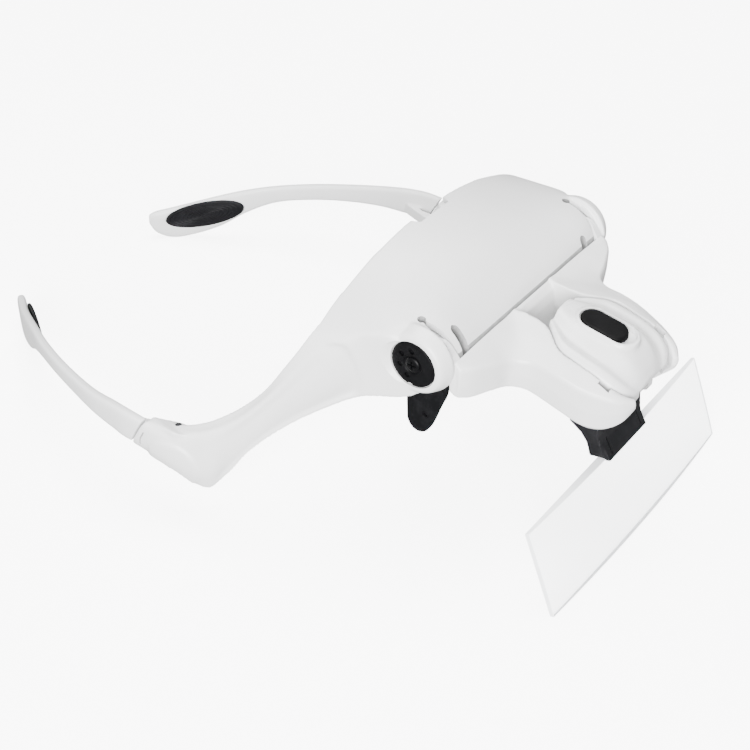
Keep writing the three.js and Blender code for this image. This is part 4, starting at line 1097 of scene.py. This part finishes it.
def holder_piece():
    """Lens clip: flared cheeks at the pin, a framed front face and two spring slits."""
    barrel = [(HOLDER_PIN_Y + a, HOLDER_PIN_Z + b) for a, b in arc(0, 0, 4.6, 205, -15, 14)]
    middle = np.array((-38.6, -33.0))
    outline = np.array(HOLDER_FRONT + barrel + HOLDER_REAR)
    rings = []
    for x, inset in ((-12.2, 1.0), (-12.0, 0.3), (-10.9, 0.0), (10.9, 0.0), (12.0, 0.3), (12.2, 1.0)):
        ring = []
        for y, z in outline:
            low = min(max((-33.5 - z) / 7, 0), 1)
            shrunk = np.array((y, z)) + (middle - np.array((y, z))) * inset * 0.1
            ring.append((x * (1 - 0.13 * low), *shrunk))
        rings.append(ring)
    section = [(-5.2, 3.0), (-5.2, 3.9), (JAW_REACH, 4.7), (JAW_REACH, 3.0)]
    jaw = loft("jaw", [[on_lens(x, down, out) for down, out in section]
                       for x in (-JAW_HALF_WIDTH, JAW_HALF_WIDTH)])
    piece = united([loft("lens_clip", rings), jaw])
    fused(piece, voxel=0.3, smoothing=2)
    corners = [(-13, -0.35), (13, -0.35), (13, 7), (-13, 7)]
    seat = loft("seat", [[on_lens(x, down, out) for x, down in corners] for out in (-1.5, SEAT_OUT)])
    pocket = [(-6.35, -9.1), (6.35, -9.1), (6.35, 3), (-6.35, 3)]
    tab_room = loft("tab_room", [[on_lens(x, down, out) for x, down in pocket] for out in (-0.05, 2.25)])
    tools = [seat, tab_room, rod_x("pin_hole", HOLDER_BORE_R, -20, 20, HOLDER_PIN_Y, HOLDER_PIN_Z, 32)]
    for x in (-SLIT_X, SLIT_X):
        x0, x1 = x - SLIT_HALF_WIDTH, x + SLIT_HALF_WIDTH
        slit = [(x0, SLIT_TOP), (x1, SLIT_TOP), (x1, SLIT_FOOT), (x0, SLIT_FOOT)]
        tools.append(loft("slit", [[on_lens(a, down, out) for a, down in slit] for out in (2.4, 9)]))
    cut(piece, tools)
    place(piece, "lens_holder", "dark_grey_plastic", HOLDER_GREY, "lens_holder")


# ---- floor, lights, camera ----
def stage_floor():
    """White floor with a glow of its own that doesn't light the object."""
    size = 6.0
    corners = [(-size, -size, 0), (size, -size, 0), (size, size, 0), (-size, size, 0)]
    floor = mesh_object("floor", corners, [(0, 1, 2, 3)])
    made, tree, shader = material("floor_white", (0.9, 0.9, 0.9), 0.9)
    sockets(shader, Specular_IOR_Level=0, Emission_Color=(1, 1, 1, 1), Emission_Strength=6)
    floor.data.materials.append(made)
    floor.visible_diffuse = False
    floor.visible_glossy = False


def area_light(name, spot, aim, power, size):
    light = bpy.data.lights.new(name, "AREA")
    light.energy = power
    light.shape = "DISK"
    light.size = size
    lamp = bpy.data.objects.new(name, light)
    bpy.context.scene.collection.objects.link(lamp)
    lamp.location = spot
    lamp.rotation_euler = (Vector(aim) - Vector(spot)).to_track_quat("-Z", "Y").to_euler()


def studio():
    world = bpy.data.worlds.new("studio")
    bpy.context.scene.world = world
    world.use_nodes = True
    sockets(world.node_tree.nodes["Background"], Color=(1, 1, 1, 1), Strength=0.6)
    area_light("overhead", (0.15, 0.1, 1.0), (0, 0, 0.04), power=19, size=0.8)
    area_light("side", (-0.95, -0.5, 0.4), (0, 0, 0.04), power=50, size=0.8)


def camera():
    """The photograph's camera, found in the design space and taken into the frame."""
    lens_mm, eye = 72.0, Vector((-291.4, -173.6, 223.7))
    right = Vector((0.5932, -0.8051, 0.0))
    ahead = Vector((0.6344, 0.4675, -0.6156)).normalized()
    up = right.cross(ahead).normalized()
    view = bpy.data.cameras.new("camera")
    view.lens = lens_mm
    view.sensor_width = 36
    view.clip_start = 0.01
    seat = Matrix((right, up, -ahead)).transposed().to_4x4()
    seat.translation = eye
    turned_seat = Matrix.Rotation(LEAN, 4, "X") @ seat
    turned_seat.translation = (turned_seat.translation - TABLE_POINT) * MM
    holder = bpy.data.objects.new("camera", view)
    bpy.context.scene.collection.objects.link(holder)
    holder.matrix_world = turned_seat
    bpy.context.scene.camera = holder


finish_cad_nodes()
frame_piece()
for make, body, other_body, slot, finish, cad in (
    (knob, "frame", "frame", "black_plastic", BLACK, "knob_cap"),
    (screw_head, "frame", "frame", "black_plastic", BLACK, "pivot_screw"),
    (nose_pad, "frame", "frame", "black_rubber", NOSE_RUBBER, "nose_pad"),
    (hinge_pin, "frame", "frame", "steel", STEEL_DARK, "hinge_pin"),
    (temple_arm, "temple_left", "temple_right", "white_shell", WHITE, "temple_arm"),
    (ringed_pad, "temple_left", "temple_right", "black_rubber", TEMPLE_RUBBER, "temple_pad"),
):
    left = make()
    right = mirrored(left, left.name.replace("left", "right"))
    place(left, body, slot, finish, cad + "_left")
    place(right, other_body, slot, finish, cad + "_right")
bracket_piece()
module_piece()
switch_piece()
lens_piece()
holder_piece()
stage_floor()
studio()
camera()
